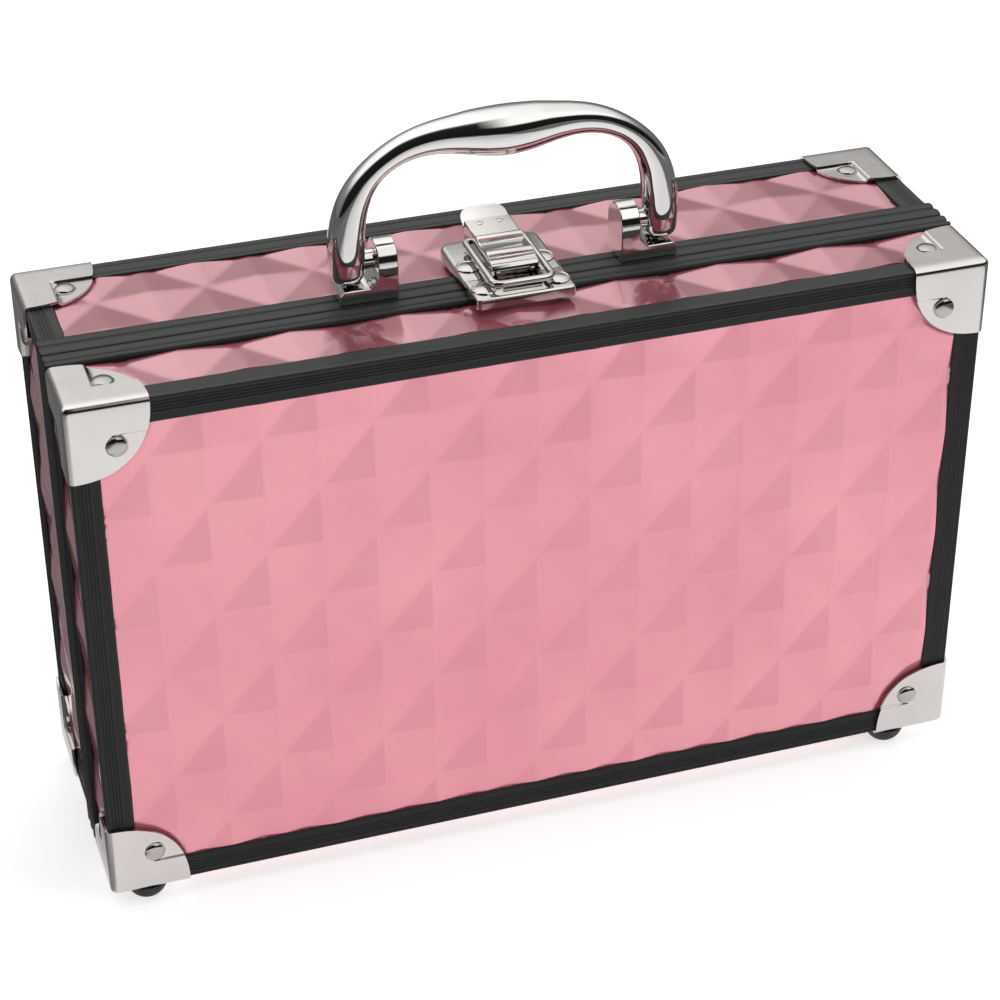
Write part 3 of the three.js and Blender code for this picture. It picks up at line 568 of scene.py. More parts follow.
def film_panel(node, board, opening, tip, corners, place, seed):
    """A board with embossed film on its face; board and opening are (u0, u1, v0, v1)."""
    us = np.array(grid_lines(board[:2], opening[:2], tip[0], DIAMOND_X))
    vs = np.array(grid_lines(board[2:], opening[2:], tip[1], DIAMOND_Z))
    u, v = np.meshgrid(us, vs, indexing="ij")
    height, ridge, painted_shade = relief(u - tip[0], v - tip[1], seed)
    shown = (u >= opening[0]) & (u <= opening[1]) & (v >= opening[2]) & (v <= opening[3])
    lift = (height + unevenness(u, v, seed)) * cap_shadow(u, v, corners)
    depth = PANEL_FACE - np.where(shown, np.maximum(lift, -0.1), 0.0)
    points = [place(*values) for values in zip(u.ravel(), v.ravel(), depth.ravel())]
    grid = np.arange(u.size).reshape(u.shape)
    quads = np.stack((grid[:-1, :-1], grid[1:, :-1], grid[1:, 1:], grid[:-1, 1:]), axis=-1)
    faces = quads.reshape(-1, 4).tolist()
    rim = np.concatenate((grid[:, 0], grid[-1, 1:], grid[-2::-1, -1], grid[0, -2:0:-1])).tolist()
    start, count = len(points), len(rim)
    points += [place(u.flat[i], v.flat[i], PANEL_BACK) for i in rim]
    points.append(place((board[0] + board[1]) / 2, (board[2] + board[3]) / 2, PANEL_BACK))
    for k in range(count):
        nxt = (k + 1) % count
        faces.append([rim[k], rim[nxt], start + nxt, start + k])
        faces.append([start + k, start + nxt, start + count])
    side = node.split("_")[1]
    fields = {"ridge": ridge * shown, "painted_shade": painted_shade * shown * PAINTED_SHADE_BY_FACE[side]}
    fields = {name: [*values.ravel(), *[0.0] * (count + 1)] for name, values in fields.items()}
    body = shell_of(node)
    new_piece(node + "_film", points, faces, body, "pink_film", FILM, (node,), 60, fields)


def add_panels(shell, face_y, inward, web_edge, strip_edge, seed):
    """The five panels of a shell: large face, top and bottom, both ends."""
    wide = RIGHT - PANEL_FACE
    open_x = RIGHT - RAIL_EDGE - FIT
    low, high = BOTTOM + RAIL_EDGE + FIT, TOP - RAIL_EDGE - FIT
    film_panel(
        "lid_front_panel" if shell == "lid" else "base_back_panel",
        (-wide, wide, BOTTOM + PANEL_FACE, TOP - PANEL_FACE),
        (-open_x, open_x, low, high),
        LARGE_TIP,
        [(x, z) for x in (LEFT, RIGHT) for z in (BOTTOM, TOP)],
        lambda u, v, d: (u, face_y + inward * d, v),
        seed,
    )
    span = sorted((face_y + inward * LINING_FACE, web_edge))
    shown = sorted((face_y + inward * (RAIL_EDGE + FIT), strip_edge - inward * FIT))
    for side, z, down in ENDS:
        seed += 1
        film_panel(
            f"{shell}_{side}_panel",
            (-wide, wide, *span),
            (-open_x, open_x, *shown),
            FLAT_TIP,
            [(LEFT, face_y), (RIGHT, face_y)],
            lambda u, v, d: (u, v, z + down * d),
            seed,
        )
    for side, x, into in SIDES:
        seed += 1
        film_panel(
            f"{shell}_{side}_panel",
            (BOTTOM + LINING_FACE, TOP - LINING_FACE, *span),
            (low, high, *shown),
            END_TIP,
            [(BOTTOM, face_y), (TOP, face_y)],
            lambda u, v, d: (x + into * d, v, u),
            seed,
        )


# ---------- rails ----------

RIBS = [3.5 + 1.15 * k for k in range(4)]


def rail_section():
    """L section and its wear: the ribbed leg lies on depth p, the plain leg on depth q."""
    face, flat, corner = 1.15, 1.5, 0.6
    rib_top, bead = face + 0.1, flat + 0.2
    outline = [(face, 1.9)]
    for q in RIBS:
        outline += [(flat, q - 0.5), (rib_top, q - 0.22), (rib_top, q + 0.22), (flat, q + 0.5)]
    outline += [(flat, RAIL_EDGE - 0.5), (flat + 0.25, RAIL_EDGE), (RAIL_BACK, RAIL_EDGE)]
    outline += [(RAIL_BACK, RAIL_BACK), (RAIL_EDGE, RAIL_BACK), (RAIL_EDGE, flat + 0.45)]
    outline += [(RAIL_EDGE - 0.5, bead), (8.9, bead), (8.5, flat - 0.05), (4.3, flat - 0.05)]
    outline += [(3.9, face), (1.9, face)]
    for a in (0.4, 0.785, 1.17):
        outline.append((face + corner * (1 - math.sin(a)), face + corner * (1 - math.cos(a))))
    return fillet(outline, 0.16, 2)


RAIL_SECTION = rail_section()


def add_profile(node, kind, section, ends, place):
    """A dark metal profile: a section drawn out between its ends."""
    points, faces, fields = extrusion(*section, ends, place)
    name = f"{node}_{kind}"
    new_piece(name, points, faces, shell_of(node), "dark_rail", RAIL, (node,), 40, fields)


def add_rail(node, ends, place):
    add_profile(node, "ribbed", RAIL_SECTION, lambda p, q: ends, place)


def add_shell_rails(shell, face_y, inward):
    half_x = RIGHT - 2.8
    half_z = (TOP - BOTTOM) / 2 - RAIL_EDGE - 2 * FIT
    for name, z, down in ENDS:
        add_rail(
            f"{shell}_rail_{name}",
            (-half_x, half_x),
            lambda p, q, w: (w, face_y + inward * p, z + down * q),
        )
    for name, x, into in SIDES:
        add_rail(
            f"{shell}_rail_{name}",
            (-half_z, half_z),
            lambda p, q, w: (x + into * q, face_y + inward * p, MIDDLE_Z + w),
        )


def add_base_side_rails():
    ends = (BASE_STRIP_END + 0.1, BACK - RAIL_EDGE - 2 * FIT)
    for z_name, z, down in ENDS:
        for x_name, x, into in SIDES:
            add_rail(
                f"base_side_rail_{z_name}_{x_name}",
                ends,
                lambda p, q, w: (x + into * q, w, z + down * p),
            )


# ---------- closure strips, in depth ----------
BAND_DEPTH = 0.5
GROOVE_DEPTH = 0.85
STRIP_BACK = 2.4


def band(y0, y1, crown, lean=0.0):
    """A gently crowned stretch of a strip between y0 and y1."""
    places = [(t, y0 + (y1 - y0) * (t + 1) / 2) for t in np.linspace(-1, 1, 6)]
    return [(BAND_DEPTH - crown * (1 - t * t) - lean * t, y) for t, y in places]


def strip_section(shell, with_tongue):
    """Outline in (depth, y) and its wear; the lid's strip and the base's meet in the seam."""
    if shell == "lid":
        seam = SEAM_Y - FIT
        web, web_end = LID_WEB
        outline = [(STRIP_BACK, LID_STRIP_END), (1.2, LID_STRIP_END)]
        outline += band(LID_STRIP_END + 0.7, -17.45, 0.26)
        outline += [(GROOVE_DEPTH, -16.95)]
        outline += band(-16.45, SEAM_Y - 0.6, 0.3)
        outline += [(0.95, seam), (STRIP_BACK, seam), (STRIP_BACK, web_end)]
        outline += [(LINING_BACK, web_end), (LINING_BACK, web), (STRIP_BACK, web)]
    else:
        seam = SEAM_Y + FIT
        outline = [(STRIP_BACK, BASE_STRIP_END), (1.2, BASE_STRIP_END), (1.0, -1.1)]
        outline += band(-1.6, -5.5, 0.26, 0.06)
        outline += [(GROOVE_DEPTH, -6.0)]
        outline += band(-6.5, SEAM_Y + 0.6, 0.3)
        outline += [(0.95, seam)]
        if with_tongue:
            outline += [(4.5, seam), (4.5, -15.5), (6.2, -15.5), (6.2, seam)]
        outline += [(LINING_BACK, seam), (LINING_BACK, BASE_WEB_END), (STRIP_BACK, BASE_WEB_END)]
    return fillet(outline, 0.2, 2)


def add_closure_strips(shell):
    half_x, half_z = RIGHT - FIT, (TOP - BOTTOM) / 2 - FIT
    for name, z, down in ENDS:
        add_profile(
            f"{shell}_closure_{name}",
            "strip",
            strip_section(shell, name == "top"),
            lambda d, y: (-(half_x - d), half_x - d),
            lambda d, y, w: (w, y, z + down * d),
        )
    for name, x, into in SIDES:
        add_profile(
            f"{shell}_closure_{name}",
            "strip",
            strip_section(shell, True),
            lambda d, y: (-(half_z - d), half_z - d),
            lambda d, y, w: (x + into * d, y, MIDDLE_Z + w),
        )


# ---------- corner caps ----------

EDGE_ARC = CAP_RADIUS * math.pi / 4  # from the middle of a rounded edge to the flat


def cap_domain():
    """Flat grid of one face of a cap, cut to the quarter outline: points, faces, outer edges."""
    reach = CAP_LEG - CAP_RADIUS + EDGE_ARC
    lines = [EDGE_ARC * k / 5 for k in range(5)] + [EDGE_ARC, 4, 6.5, 9]
    lines += [CAP_STEP - 0.8 + 0.22 * k for k in range(12)]
    lines += [CAP_STEP + 2.2 + 1.0 * k for k in range(int(reach - CAP_STEP))]
    work = bmesh.new()
    grid = [[work.verts.new((a, b, 0)) for b in lines] for a in lines]
    for i in range(len(lines) - 1):
        for j in range(len(lines) - 1):
            work.faces.new((grid[i][j], grid[i + 1][j], grid[i + 1][j + 1], grid[i][j + 1]))
    steps = 40
    power = 2 / CAP_BULGE
    angles = [math.pi / 2 * k / steps for k in range(steps + 1)]
    outline = [(reach * math.cos(a) ** power, reach * math.sin(a) ** power) for a in angles]
    for (x0, y0), (x1, y1) in zip(outline, outline[1:]):
        bmesh.ops.bisect_plane(
            work,
            geom=work.verts[:] + work.edges[:] + work.faces[:],
            plane_co=(x0, y0, 0),
            plane_no=(y1 - y0, x0 - x1, 0),
            clear_outer=True,
            dist=1e-5,
        )
    work.verts.index_update()
    points = [(v.co.x, v.co.y) for v in work.verts]
    faces = [[v.index for v in f.verts] for f in work.faces]
    border = [[v.index for v in e.verts] for e in work.edges if e.is_boundary]
    work.free()
    for axis in (0, 1):  # along both axes the next face joins on
        border = [edge for edge in border if max(points[i][axis] for i in edge) > 1e-4]
    return points, faces, border


def on_cap(a, b, soft_a, soft_b, deep):
    """Outer point and inward normal, as depths, for grid position (a, b) on the face of depth c."""
    tilt_a = math.tan(max(0.0, math.pi / 4 - a / CAP_RADIUS))
    tilt_b = math.tan(max(0.0, math.pi / 4 - b / CAP_RADIUS))
    inwards = Vector((tilt_a, tilt_b, 1)).normalized()
    centre = Vector((max(0.0, a - EDGE_ARC), max(0.0, b - EDGE_ARC), 0)) + Vector((CAP_RADIUS,) * 3)
    outer = centre - CAP_RADIUS * inwards
    step_a = float(smooth_step((a - CAP_STEP + EDGE_ARC - CAP_RADIUS) / soft_a))
    step_b = float(smooth_step((b - CAP_STEP + EDGE_ARC - CAP_RADIUS) / soft_b))
    outer.z += deep * step_a * step_b
    return outer, inwards


def cap_shell():
    """One cap in its own corner, as depths from the three outer planes."""
    flat, flat_faces, border = cap_domain()
    n = len(flat)
    turns = (
        (*CAP_SOFT["top"], lambda p: (p[0], p[1], p[2])),
        (*CAP_SOFT["large"], lambda p: (p[0], p[2], p[1])),
        (*CAP_SOFT["side"], lambda p: (p[2], p[0], p[1])),
    )
    at = CAP_RIVET_AT
    head = dome_profile(CAP_RIVET, CAP_RIVET_RISE, 0.4)
    points = []
    faces = []
    dull = []
    for *step, arrange in turns:
        start = len(points)
        sheet = [on_cap(a, b, *step) for a, b in flat]
        points += [arrange(outer) for outer, _ in sheet]
        points += [arrange(outer + CAP_SHEET * inwards) for outer, inwards in sheet]
        faces += [[start + i for i in face] for face in flat_faces]
        faces += [[start + n + i for i in reversed(face)] for face in flat_faces]
        faces += [[start + a, start + b, start + n + b, start + n + a] for a, b in border]
        base = on_cap(at, at, *step)[0].z + 0.05
        dome = lathe(head, 28, lambda x, y, z: arrange((at + x, at + y, base - z)))
        points, faces = joined((points, faces), dome)
        dull += [0.0] * (2 * n) + [1.0] * len(dome[0])
    return points, faces, {"dull": dull}


def add_corner_caps():
    points, faces, fields = cap_shell()
    for shell, y, inward in (("lid", FRONT, 1), ("base", BACK, -1)):
        for z_name, z, down in ENDS:
            for x_name, x, into in SIDES:
                node = f"{shell}_corner_{z_name}_{x_name}"
                placed = [(x + into * a, y + inward * b, z + down * c) for a, b, c in points]
                rest = (shell_of(node), "corner_chrome", CAP, (node,), 50, fields)
                soften(new_piece(node + "_cap", placed, faces, *rest), 0.18, 2, 55)


# ---------- feet ----------
SOLE_RADIUS = 3.2


def add_feet():
    """Rubber domes with a flat, slightly hollow sole, as large as their CAD nodes."""
    for shell in ("lid", "base"):
        for side in ("left", "right"):
            node = f"{shell}_foot_{side}"
            x, y, high = middle(node, 0), middle(node, 1), plane(node, 1, 2)
            radius = plane(node, 1, 0) - x
            cut = math.acos(SOLE_RADIUS / radius)
            drop = high / math.sin(cut)
            profile = [(0, 0.35), (1.4, 0.3), (SOLE_RADIUS - 0.9, 0.0)]
            steps = 14
            for k in range(steps, -1, -1):
                angle = cut * k / steps
                profile.append((radius * math.cos(angle), max(high - drop * math.sin(angle), 0.0)))
            profile += [(radius - 0.6, high), (0, high)]
            points, faces = lathe(profile, 48, lambda a, b, c: (x + a, y + b, c))
            body = shell_of(node)
            new_piece(node + "_dome", points, faces, body, "foot_rubber", RUBBER, (node,), 50)


# ---------- handle ----------
# right half of the arch: x and height over the caps of its centre, radius in the arch's plane,
# radius across it
HANDLE_HALF = [
    (0, 53.1, 8.4, 8.4), (6, 53.3, 8.1, 8.1), (12, 53.7, 7.4, 7.4),
    (18, 53.9, 6.4, 6.5), (24, 53.8, 5.6, 5.8), (30, 53, 5.0, 5.3),
    (36, 51.2, 4.5, 4.9), (41.5, 48.4, 4.2, 4.8), (46.2, 44.8, 4.3, 4.8),
    (50, 40.4, 4.8, 4.9), (52.8, 35.4, 5.4, 5.2), (54.8, 29.4, 5.9, 5.5),
    (56, 22, 6.3, 5.9), (56.3, 14.5, 6.4, 6.2), (56.3, 10.5, 6.2, 6.0),
]
HANDLE_SIDES = 64
HANDLE_POWER = 2 / 2.25
HANDLE_END = 4.6  # how far the rounded ends reach below the last centre
HANDLE_END_SHRINK = 0.35  # how narrow they get there


def spline(values, per_span):
    """Catmull-Rom samples through rows of numbers."""
    rows = [np.array(v, float) for v in values]
    rows = [2 * rows[0] - rows[1], *rows, 2 * rows[-1] - rows[-2]]
    samples = []
    for a, b, c, d in zip(rows, rows[1:], rows[2:], rows[3:]):
        linear, square, cube = c - a, 2 * a - 5 * b + 4 * c - d, 3 * b - a - 3 * c + d
        for k in range(per_span):
            t = k / per_span
            samples.append(0.5 * (2 * b + linear * t + square * t**2 + cube * t**3))
    samples.append(rows[-2])
    return samples


def add_handle():
    """One arch with a swollen grip, drawn along its line of centres, both ends rounded."""
    pivot_y = middle("handle", 1)
    mirrored = [(-x, z, wide, deep) for x, z, wide, deep in HANDLE_HALF[:0:-1]]
    foot_x, foot_z, wide, deep = HANDLE_HALF[-1]
    rounding = []
    steps = 10
    for k in range(1, steps + 1):
        angle = math.pi / 2 * k / steps
        shrink = HANDLE_END_SHRINK + (1 - HANDLE_END_SHRINK) * math.cos(angle) ** 0.6
        rounding.append((foot_x, foot_z - HANDLE_END * math.sin(angle), wide * shrink, deep * shrink))
    left_end = [(-x, z, wide, deep) for x, z, wide, deep in rounding[::-1]]
    rows = left_end + spline(mirrored + HANDLE_HALF, 6) + rounding
    points, faces = swept(
        rows,
        lambda row: oval(row[2], row[3], HANDLE_SIDES, HANDLE_POWER, 0.5),
        lambda x, z, side: (x, pivot_y + side, TOP + z),
    )
    new_piece("handle_arch", points, faces, "carry_handle", "handle_chrome", CHROME, ("handle",), 50)


# ---------- latch, heights above the caps ----------
PLATE_TOP = 3.5
PLATE_SHEET = 1.2
SKIRT_OVER_PANEL = -0.3
PRESSED_RIVET = [(0, -0.4), (4.3, -0.4), (4.3, 0.3), (4.1, 0.52), (3.75, 0.6), (3.4, 0.46)]
PRESSED_RIVET += [(2.6, 0.62), (1.4, 0.8), (0, 0.86)]
KEEPER_RIVETS = (13.2, -21.3)  # x on both sides, y
BASE_RIVETS = (13.4, -4.3)
HOOK_HALF = 7
EAR_INNER = 5.6
LEVER_SHEET = 0.6
NOSE_RADIUS = 2.6
WELDS = (3.6, 12.6, 10.93)  # x on both sides, y, height
PIN_Y = middle("latch_pin", 1)
PIN_RISE = middle("latch_pin", 2) - TOP


def arc(y, z, radius, start, end, steps):
    """Points of an arc between two angles in degrees."""
    angles = [math.radians(start + (end - start) * k / steps) for k in range(steps + 1)]
    return [(y + radius * math.cos(a), z + radius * math.sin(a)) for a in angles]


def plan_outline(half, front, rear, front_radius, rear_radius, stops):
    """Rounded plan of a plate, with extra points at the stops along both sides."""
    right = arc(half - front_radius, front + front_radius, front_radius, 270, 360, 7)
    right += [(half, y) for y in stops]
    right += arc(half - rear_radius, rear - rear_radius, rear_radius, 0, 90, 7)
    return right + [(-x, y) for x, y in reversed(right)]


def pressed_plate(node, front_radius, rear_radius, seam_edge, strip_end, roll):
    """Sheet cover with rolled edges; its skirt is cut away at the seam and short over the strip."""
    half, front, rear = plane(node, 1, 0), plane(node, 0, 1), plane(node, 1, 1)
    stops = (strip_end - 0.05, strip_end + 0.05)
    inner = PLATE_TOP - PLATE_SHEET
    deep = -9  # below the lowest skirt

    def skirt(y):
        from_seam = abs(y - seam_edge)
        if from_seam < 0.6:
            return inner
        return 0.2 if from_seam < abs(strip_end - seam_edge) else SKIRT_OVER_PANEL

    bends = (0, 0.35, 0.7, 1.05, 1.3)
    section = [(roll * (1 - math.sin(a)), PLATE_TOP - roll * (1 - math.cos(a))) for a in bends]
    section += [(0, PLATE_TOP - roll), (0, deep), (PLATE_SHEET, deep), (PLATE_SHEET, inner)]
    edge = plan_outline(half, front, rear, front_radius, rear_radius, stops)
    rings = []
    for inset, z in section:
        radii = (max(front_radius - inset, 0.05), max(rear_radius - inset, 0.05))
        ring = plan_outline(half - inset, front + inset, rear - inset, *radii, stops)
        rings.append([(x, y, TOP + max(z, skirt(at[1]))) for (x, y), at in zip(ring, edge)])
    return loft(rings)


def pressed_rivets(x, y):
    """Two rivet heads on a plate, at x on both sides of the middle."""
    high = TOP + PLATE_TOP
    return [lathe(PRESSED_RIVET, 36, lambda a, b, c: (at + a, y + b, high + c)) for at in (-x, x)]


def cross_bar(outline, x0, x1):
    """A closed (y, height) outline drawn out along x."""
    return loft([[(x, y, TOP + z) for y, z in outline] for x in (x0, x1)])


def latch_piece(name, body, node, sharp, *parts):
    points, faces = joined(*parts)
    new_piece(name, points, faces, body, "latch_chrome", PRESSED, (node,), sharp)


def add_keeper():
    """Plate on the lid with the hook that the loop pulls on."""
    node = "latch_keeper"
    plate = pressed_plate(node, 1.6, 0.4, plane(node, 1, 1), LID_STRIP_END - 0.45, 0.95)
    bar = plane("latch_bail", 0, 1) + 1.2
    hook = [(3.3, 2.6), (3.3, 4.4), (2.8, 5.0), (1.9, 5.0), (1.5, 4.6), (1.5, 2.6)]
    hook = cross_bar([(bar + back, height) for back, height in hook], -HOOK_HALF, HOOK_HALF)
    rivets = pressed_rivets(*KEEPER_RIVETS)
    latch_piece("latch_keeper_plate", "lid_shell", node, 30, plate, hook, *rivets)


def add_latch_base():
    """Plate on the base with two ears for the lever's pin."""
    node = "latch_base"
    plate = pressed_plate(node, 0.4, 4.6, plane(node, 0, 1), BASE_STRIP_END + 0.45, 1.6)
    ear = [(-6, 3), (-6, 4.6), *arc(PIN_Y, PIN_RISE, 1.9, 80, 250, 10), (-11.6, 4.1), (-11.6, 3)]
    ears = [cross_bar(ear, x, x + PLATE_SHEET) for x in (-EAR_INNER - PLATE_SHEET, EAR_INNER)]
    rivets = pressed_rivets(*BASE_RIVETS)
    latch_piece("latch_base_plate", "base_shell", node, 30, plate, *ears, *rivets)


def inset_curve(curve, distance):
    """An open (y, z) curve moved to its right-hand side."""
    ways = directions(curve)
    return [(y + way.y * distance, z - way.x * distance) for (y, z), way in zip(curve, ways)]


def add_lever():
    """Folded sheet: a nose over the pin, a roll, a sunk band, a ridge and a flat with two welds."""
    half, rear = plane("latch_lever", 1, 0), plane("latch_lever", 1, 1)
    inside = half - LEVER_SHEET
    outer = arc(PIN_Y, PIN_RISE, NOSE_RADIUS, 166, 84, 8)
    outer += [(-12.9, 9.25), (-12.0, 9.8), (-10.9, 10.5), (-9.6, 10.8), (-8.4, 10.8), (-7.5, 10.5)]
    outer += [(-4.2, 10.1), (-1.1, 9.85), (-0.2, 10.3), (0.6, 11.0), (1.6, 11.4), (2.7, 11.35)]
    outer += [(3.6, 10.8), (4.4, 10.4), (9.0, 10.75), (rear, 11.1)]
    floor_line = [(rear, 4.6), (rear - 0.9, 4.0), (-12.0, 4.0)]
    floor_line += arc(PIN_Y, PIN_RISE, NOSE_RADIUS, 250, 180, 5)
    roll = 0.7
    bends = (0, 0.4, 0.8, 1.2)
    stations = [(half - roll + roll * math.sin(a), roll * (1 - math.cos(a))) for a in bends]
    stations.append((half, roll))
    stations = [(-x, d) for x, d in reversed(stations)] + stations
    points = []
    skins = []
    for widths, base in ((stations, 0.0), ([(-inside, 0), (inside, 0)], LEVER_SHEET)):
        rows = []
        for x, d in widths:
            row = inset_curve(outer, base + d) + (floor_line if abs(x) > inside - 0.01 else [])
            rows.append(list(range(len(points), len(points) + len(row))))
            points += [(x, y, TOP + z) for y, z in row]
        skins.append(rows)
    n = len(outer)
    faces = []
    for rows in skins:
        for one, two in zip(rows, rows[1:]):
            faces += [[one[i], one[i + 1], two[i + 1], two[i]] for i in range(n - 1)]
        faces += [rows[0], rows[-1]]
    (left, *_, right), (left_in, right_in) = skins
    for side, inner in ((left, left_in), (right, right_in)):
        rim = list(range(n - 1, len(side))) + [0]
        faces += [[side[a], side[b], inner[b], inner[a]] for a, b in zip(rim, rim[1:])]
    for end in (0, n - 1):
        faces.append([row[end] for row in skins[0]] + [right_in[end], left_in[end]])
    weld = [(0, -0.3), (1.25, -0.3), (1.25, 0.02), (1.05, 0.22), (0.7, 0.36), (0.3, 0.34), (0, 0.24)]
    at_x, at_y, high = WELDS
    welds = [lathe(weld, 20, lambda a, b, c: (x + a, at_y + b, TOP + high + c)) for x in (-at_x, at_x)]
    latch_piece("latch_lever_sheet", "latch_arm", "latch_lever", 30, (points, faces), *welds)


def add_thumb_tab():
    """Flat tongue that leaves the channel of the lever and curls up gently behind it."""
    inner, outer = 6.8, plane("latch_thumb_tab", 1, 0)
    mouth, end = 15.6, plane("latch_thumb_tab", 1, 1)
    corner, thick, rise, curl = 4.2, 0.5, 8.55, 0.283
    bend = end - corner
    spots = [4, 10, mouth - 0.05, mouth + 0.05, *np.linspace(mouth + 0.6, bend, 7)]
    spots += [bend + corner * math.sin(math.radians(a)) for a in range(8, 91, 6)] + [end]
    rings = []
    for y in spots:
        past = max(0.0, y - bend)
        half = inner if y < mouth else outer - corner + math.sqrt(max(corner**2 - past**2, 0))
        z = TOP + rise + curl * max(0.0, y - mouth) ** 1.3
        t = thick * (0.35 if y == end else 1.0)
        right = [(half - 0.4, t), (half - 0.12, 0.7 * t), (half, 0)]
        upper = [(-x, h) for x, h in reversed(right)] + right
        lower = [(x, -h) for x, h in upper[-2:0:-1]]
        rings.append([(x, y, z + h) for x, h in upper + lower])
    latch_piece("latch_tab_tongue", "latch_arm", "latch_thumb_tab", 50, loft(rings))


def add_bail():
    """Wire loop bent round two front corners, its ends turned into the lever."""
    wire = (plane("latch_bail", 1, 2) - plane("latch_bail", 0, 2)) / 2
    half = plane("latch_bail", 1, 0) - wire
    front, rear = plane("latch_bail", 0, 1) + wire, plane("latch_bail", 1, 1) - wire
    height = middle("latch_bail", 2)
    bend, turn = 3.0, 1.6
    right = [(0, front), (3, front), *arc(half - bend, front + bend, bend, 270, 360, 10)]
    right += [(half, front + 12), (half, front + 22), *arc(half - turn, rear - turn, turn, 0, 90, 7)]
    right.append((7.6, rear))
    path = [(-x, y) for x, y in reversed(right[1:])] + right
    circle = oval(wire, wire, 20)
    points, faces = swept(path, lambda row: circle, lambda x, y, up: (x, y, height + up))
    new_piece("latch_bail_wire", points, faces, "latch_loop", "bail_wire", WIRE, ("latch_bail",), 50)


# ---------- the model ----------
add_panels("base", BACK, -1, BASE_WEB_END + 0.3, BASE_STRIP_END, 11)
add_panels("lid", FRONT, 1, LID_WEB[0] - 0.3, LID_STRIP_END, 31)
add_shell_rails("base", BACK, -1)
add_shell_rails("lid", FRONT, 1)
add_base_side_rails()
add_closure_strips("base")
add_closure_strips("lid")
add_corner_caps()
add_feet()
add_handle()
for side_name in ("left", "right"):
    refined(f"handle_bracket_{side_name}", "base_shell", CHROME, 0.45)
add_latch_base()
add_keeper()
add_lever()
add_thumb_tab()
add_bail()
dress("latch_pin", HINGE, 0.2)
for shell_name in ("base", "lid"):
    dress(f"{shell_name}_lining", LINING)
    for side_name in ("left", "right"):
        dress(f"{shell_name}_hinge_{side_name}", HINGE, 0.12)

# ---------- floor, light and camera ----------
FLOOR_HALF = 6.0


def glow(look, strength):
    look.set("Emission Color", (1, 1, 1, 1))
    look.set("Emission Strength", strength)


def add_floor():
    mesh = bpy.data.meshes.new("floor")
    work = bmesh.new()
    bmesh.ops.create_grid(work, x_segments=24, y_segments=24, size=FLOOR_HALF)
    work.to_mesh(mesh)
    work.free()
    floor = bpy.data.objects.new("floor", mesh)
    bpy.context.scene.collection.objects.link(floor)
    look = Look("floor_paper", (0.93, 0.93, 0.93), 0.9)
    look.set("Roughness", look.remap(look.noise(30, 2), 0.3, 0.7, 0.85, 0.95))
    glow(look, 0.6)
    mesh.materials.append(look.material)
    return floor


def add_painted_floor_shade(floor):
    """Dark sheet just above the floor, seen only in reflections: painted shade for the floor left and
    right of the case and in front of it.
    """
    cloth = floor.copy()
    cloth.data = floor.data.copy()
    cloth.name = "reflected_floor_shade"
    cloth.location.z = 0.0002
    bpy.context.scene.collection.objects.link(cloth)
    look = Look("painted_reflection_shade", (0.01, 0.01, 0.01), 0.9)
    glow(look, 0.04)
    x, y, _ = look.split(look.where)
    # where the painted shade lies: in front and to the front left, left of the case's left end, and to
    # the right
    front_left = look.remap(look.math("ADD", x, look.math("MULTIPLY", y, 0.25)), -0.6, -0.3, 0.9, 0)
    left = look.remap(x, -0.172, -0.161, 0.93, 0)
    left = look.math("MULTIPLY", left, look.remap(y, -0.16, -0.02, 0, 1))
    beside = look.math("MAXIMUM", left, look.remap(x, 0.38, 0.5, 0, 0.9))
    ahead = look.math("MAXIMUM", front_left, look.remap(y, -1.0, -0.35, 0.4, 0))
    look.set("Alpha", look.math("MAXIMUM", beside, ahead))
    cloth.data.materials.clear()
    cloth.data.materials.append(look.material)
    cloth.visible_camera = False
    cloth.visible_diffuse = False
    cloth.visible_shadow = False


# brightness of the surroundings by the sine of the elevation
BEHIND = [(0.0, 0.2), (0.24, 0.26), (0.36, 0.45), (0.47, 0.95), (0.58, 1.3), (1.0, 1.6)]
IN_FRONT = [(0.0, 0.012), (0.57, 0.016), (0.8, 0.02), (0.89, 0.07), (0.93, 0.5)]
IN_FRONT += [(0.955, 1.35), (1.0, 1.7)]
BRIGHTEST = 2.0


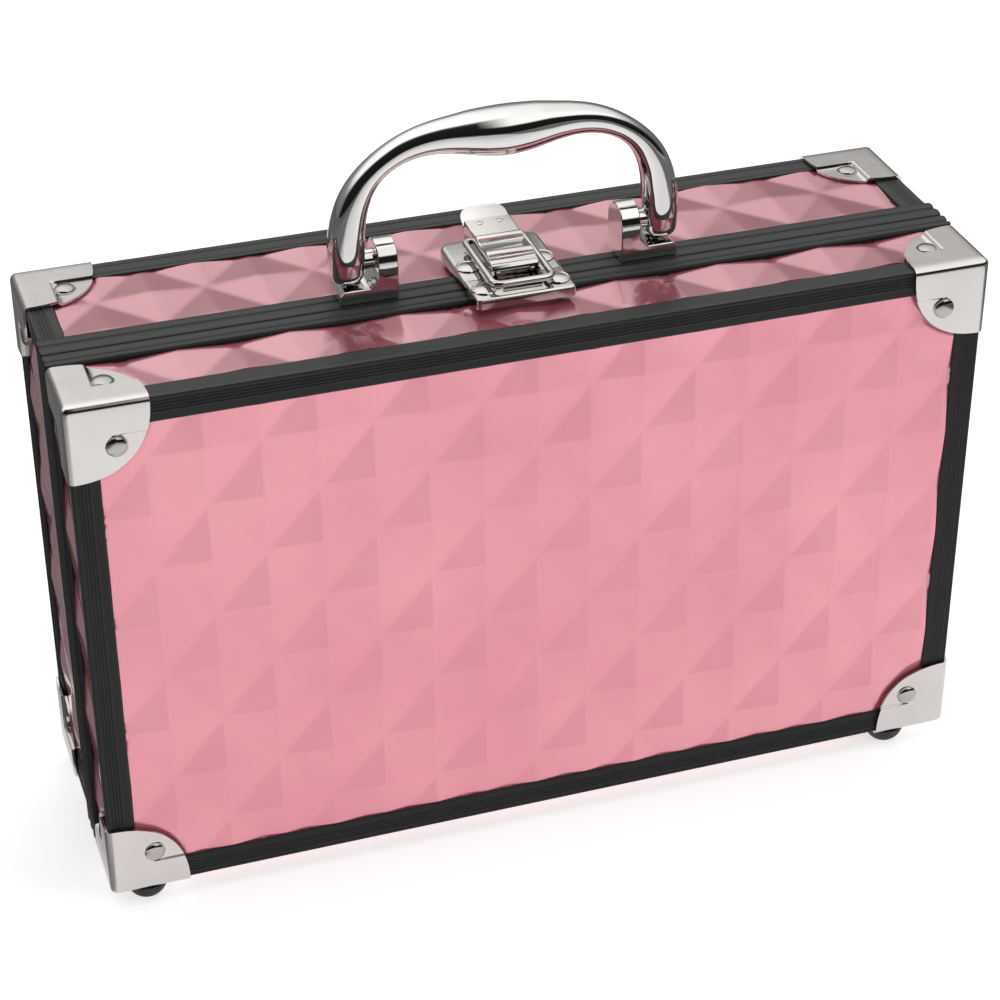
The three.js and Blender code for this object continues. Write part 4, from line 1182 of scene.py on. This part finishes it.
def add_studio():
    """A tent: white overhead, dim behind; in front dark on the left, a softbox on the right."""
    world = bpy.data.worlds.new("studio")
    bpy.context.scene.world = world
    world.use_nodes = True
    world.cycles_visibility.diffuse = False
    sky = Nodes(world.node_tree)
    x, y, z = sky.split(sky.node("ShaderNodeTexCoord", {}).outputs["Generated"])

    def by_height(stops):
        node = sky.node("ShaderNodeValToRGB", {"Fac": z})
        elements = node.color_ramp.elements
        while len(elements) < len(stops):
            elements.new(0.5)
        for element, (at, brightness) in zip(elements, stops):
            element.position = at
            element.color = (brightness / BRIGHTEST,) * 3 + (1,)
        return node.outputs["Color"]

    in_front = sky.ramp(y, -0.35, 0.05, 1, 0)
    behind = sky.ramp(y, -0.35, 0.05, 0, 1)
    back_wall = sky.math("MULTIPLY", by_height(BEHIND), sky.ramp(x, -0.1, 0.6, 1.1, 0.85))
    softbox = sky.math("MULTIPLY", sky.ramp(x, 0.05, 0.3, 0, 0.75), sky.ramp(z, 0.42, 0.56, 0, 1))
    front_wall = sky.math("MAXIMUM", by_height(IN_FRONT), softbox)
    seen_behind = sky.math("MULTIPLY", back_wall, behind)
    total = sky.math("ADD", seen_behind, sky.math("MULTIPLY", front_wall, in_front))
    background = sky.tree.nodes["Background"].inputs
    sky.feed(background["Strength"], sky.math("MULTIPLY", total, BRIGHTEST))
    sky.feed(background["Color"], (1.0, 0.995, 0.985, 1))


def add_area(name, place, aim, size, power):
    """A lamp that lights the case but shows neither in it nor in the picture."""
    data = bpy.data.lights.new(name, "AREA")
    data.shape = "RECTANGLE"
    data.size, data.size_y = size
    data.energy = power
    lamp = bpy.data.objects.new(name, data)
    bpy.context.scene.collection.objects.link(lamp)
    lamp.location = place
    lamp.rotation_euler = (Vector(aim) - Vector(place)).to_track_quat("-Z", "Y").to_euler()
    lamp.visible_camera = False
    lamp.visible_glossy = False


# the camera looks at a point near the middle of the case
AIM = Vector((-4.07, -9.91, 117.8)) * MM
DISTANCE = 0.96
AZIMUTH, ELEVATION, ROLL = (math.radians(a) for a in (-18.068, 32.299, -0.284))
LENS = 95.97


def add_camera():
    flat = math.cos(ELEVATION)
    back = Vector((math.sin(AZIMUTH) * flat, -math.cos(AZIMUTH) * flat, math.sin(ELEVATION)))
    level = Vector((math.cos(AZIMUTH), math.sin(AZIMUTH), 0))
    upright = back.cross(level)
    right = level * math.cos(ROLL) + upright * math.sin(ROLL)
    up = upright * math.cos(ROLL) - level * math.sin(ROLL)
    data = bpy.data.cameras.new("camera")
    data.sensor_width = 36
    data.lens = LENS
    data.clip_end = 50
    camera = bpy.data.objects.new("camera", data)
    bpy.context.scene.collection.objects.link(camera)
    turn = Matrix((right, up, back)).transposed().to_4x4()
    camera.matrix_world = Matrix.Translation(AIM + back * DISTANCE) @ turn
    bpy.context.scene.camera = camera


add_painted_floor_shade(add_floor())
add_studio()
add_area("overhead", (0.0, 0.1, 1.8), (0, 0, 0.1), (2.4, 2.0), 16)
add_area("back_key", (0.15, 0.9, 1.2), (0, 0, 0.1), (0.5, 0.4), 3)
add_area("right_fill", (2.9, -1.9, 0.64), (0, 0, 0.12), (2.0, 1.2), 80)
add_area("front_fill", (-0.9, -1.6, 0.6), (0, 0, 0.1), (1.2, 0.9), 8)
add_camera()
bpy.context.scene.view_settings.view_transform = "Standard"
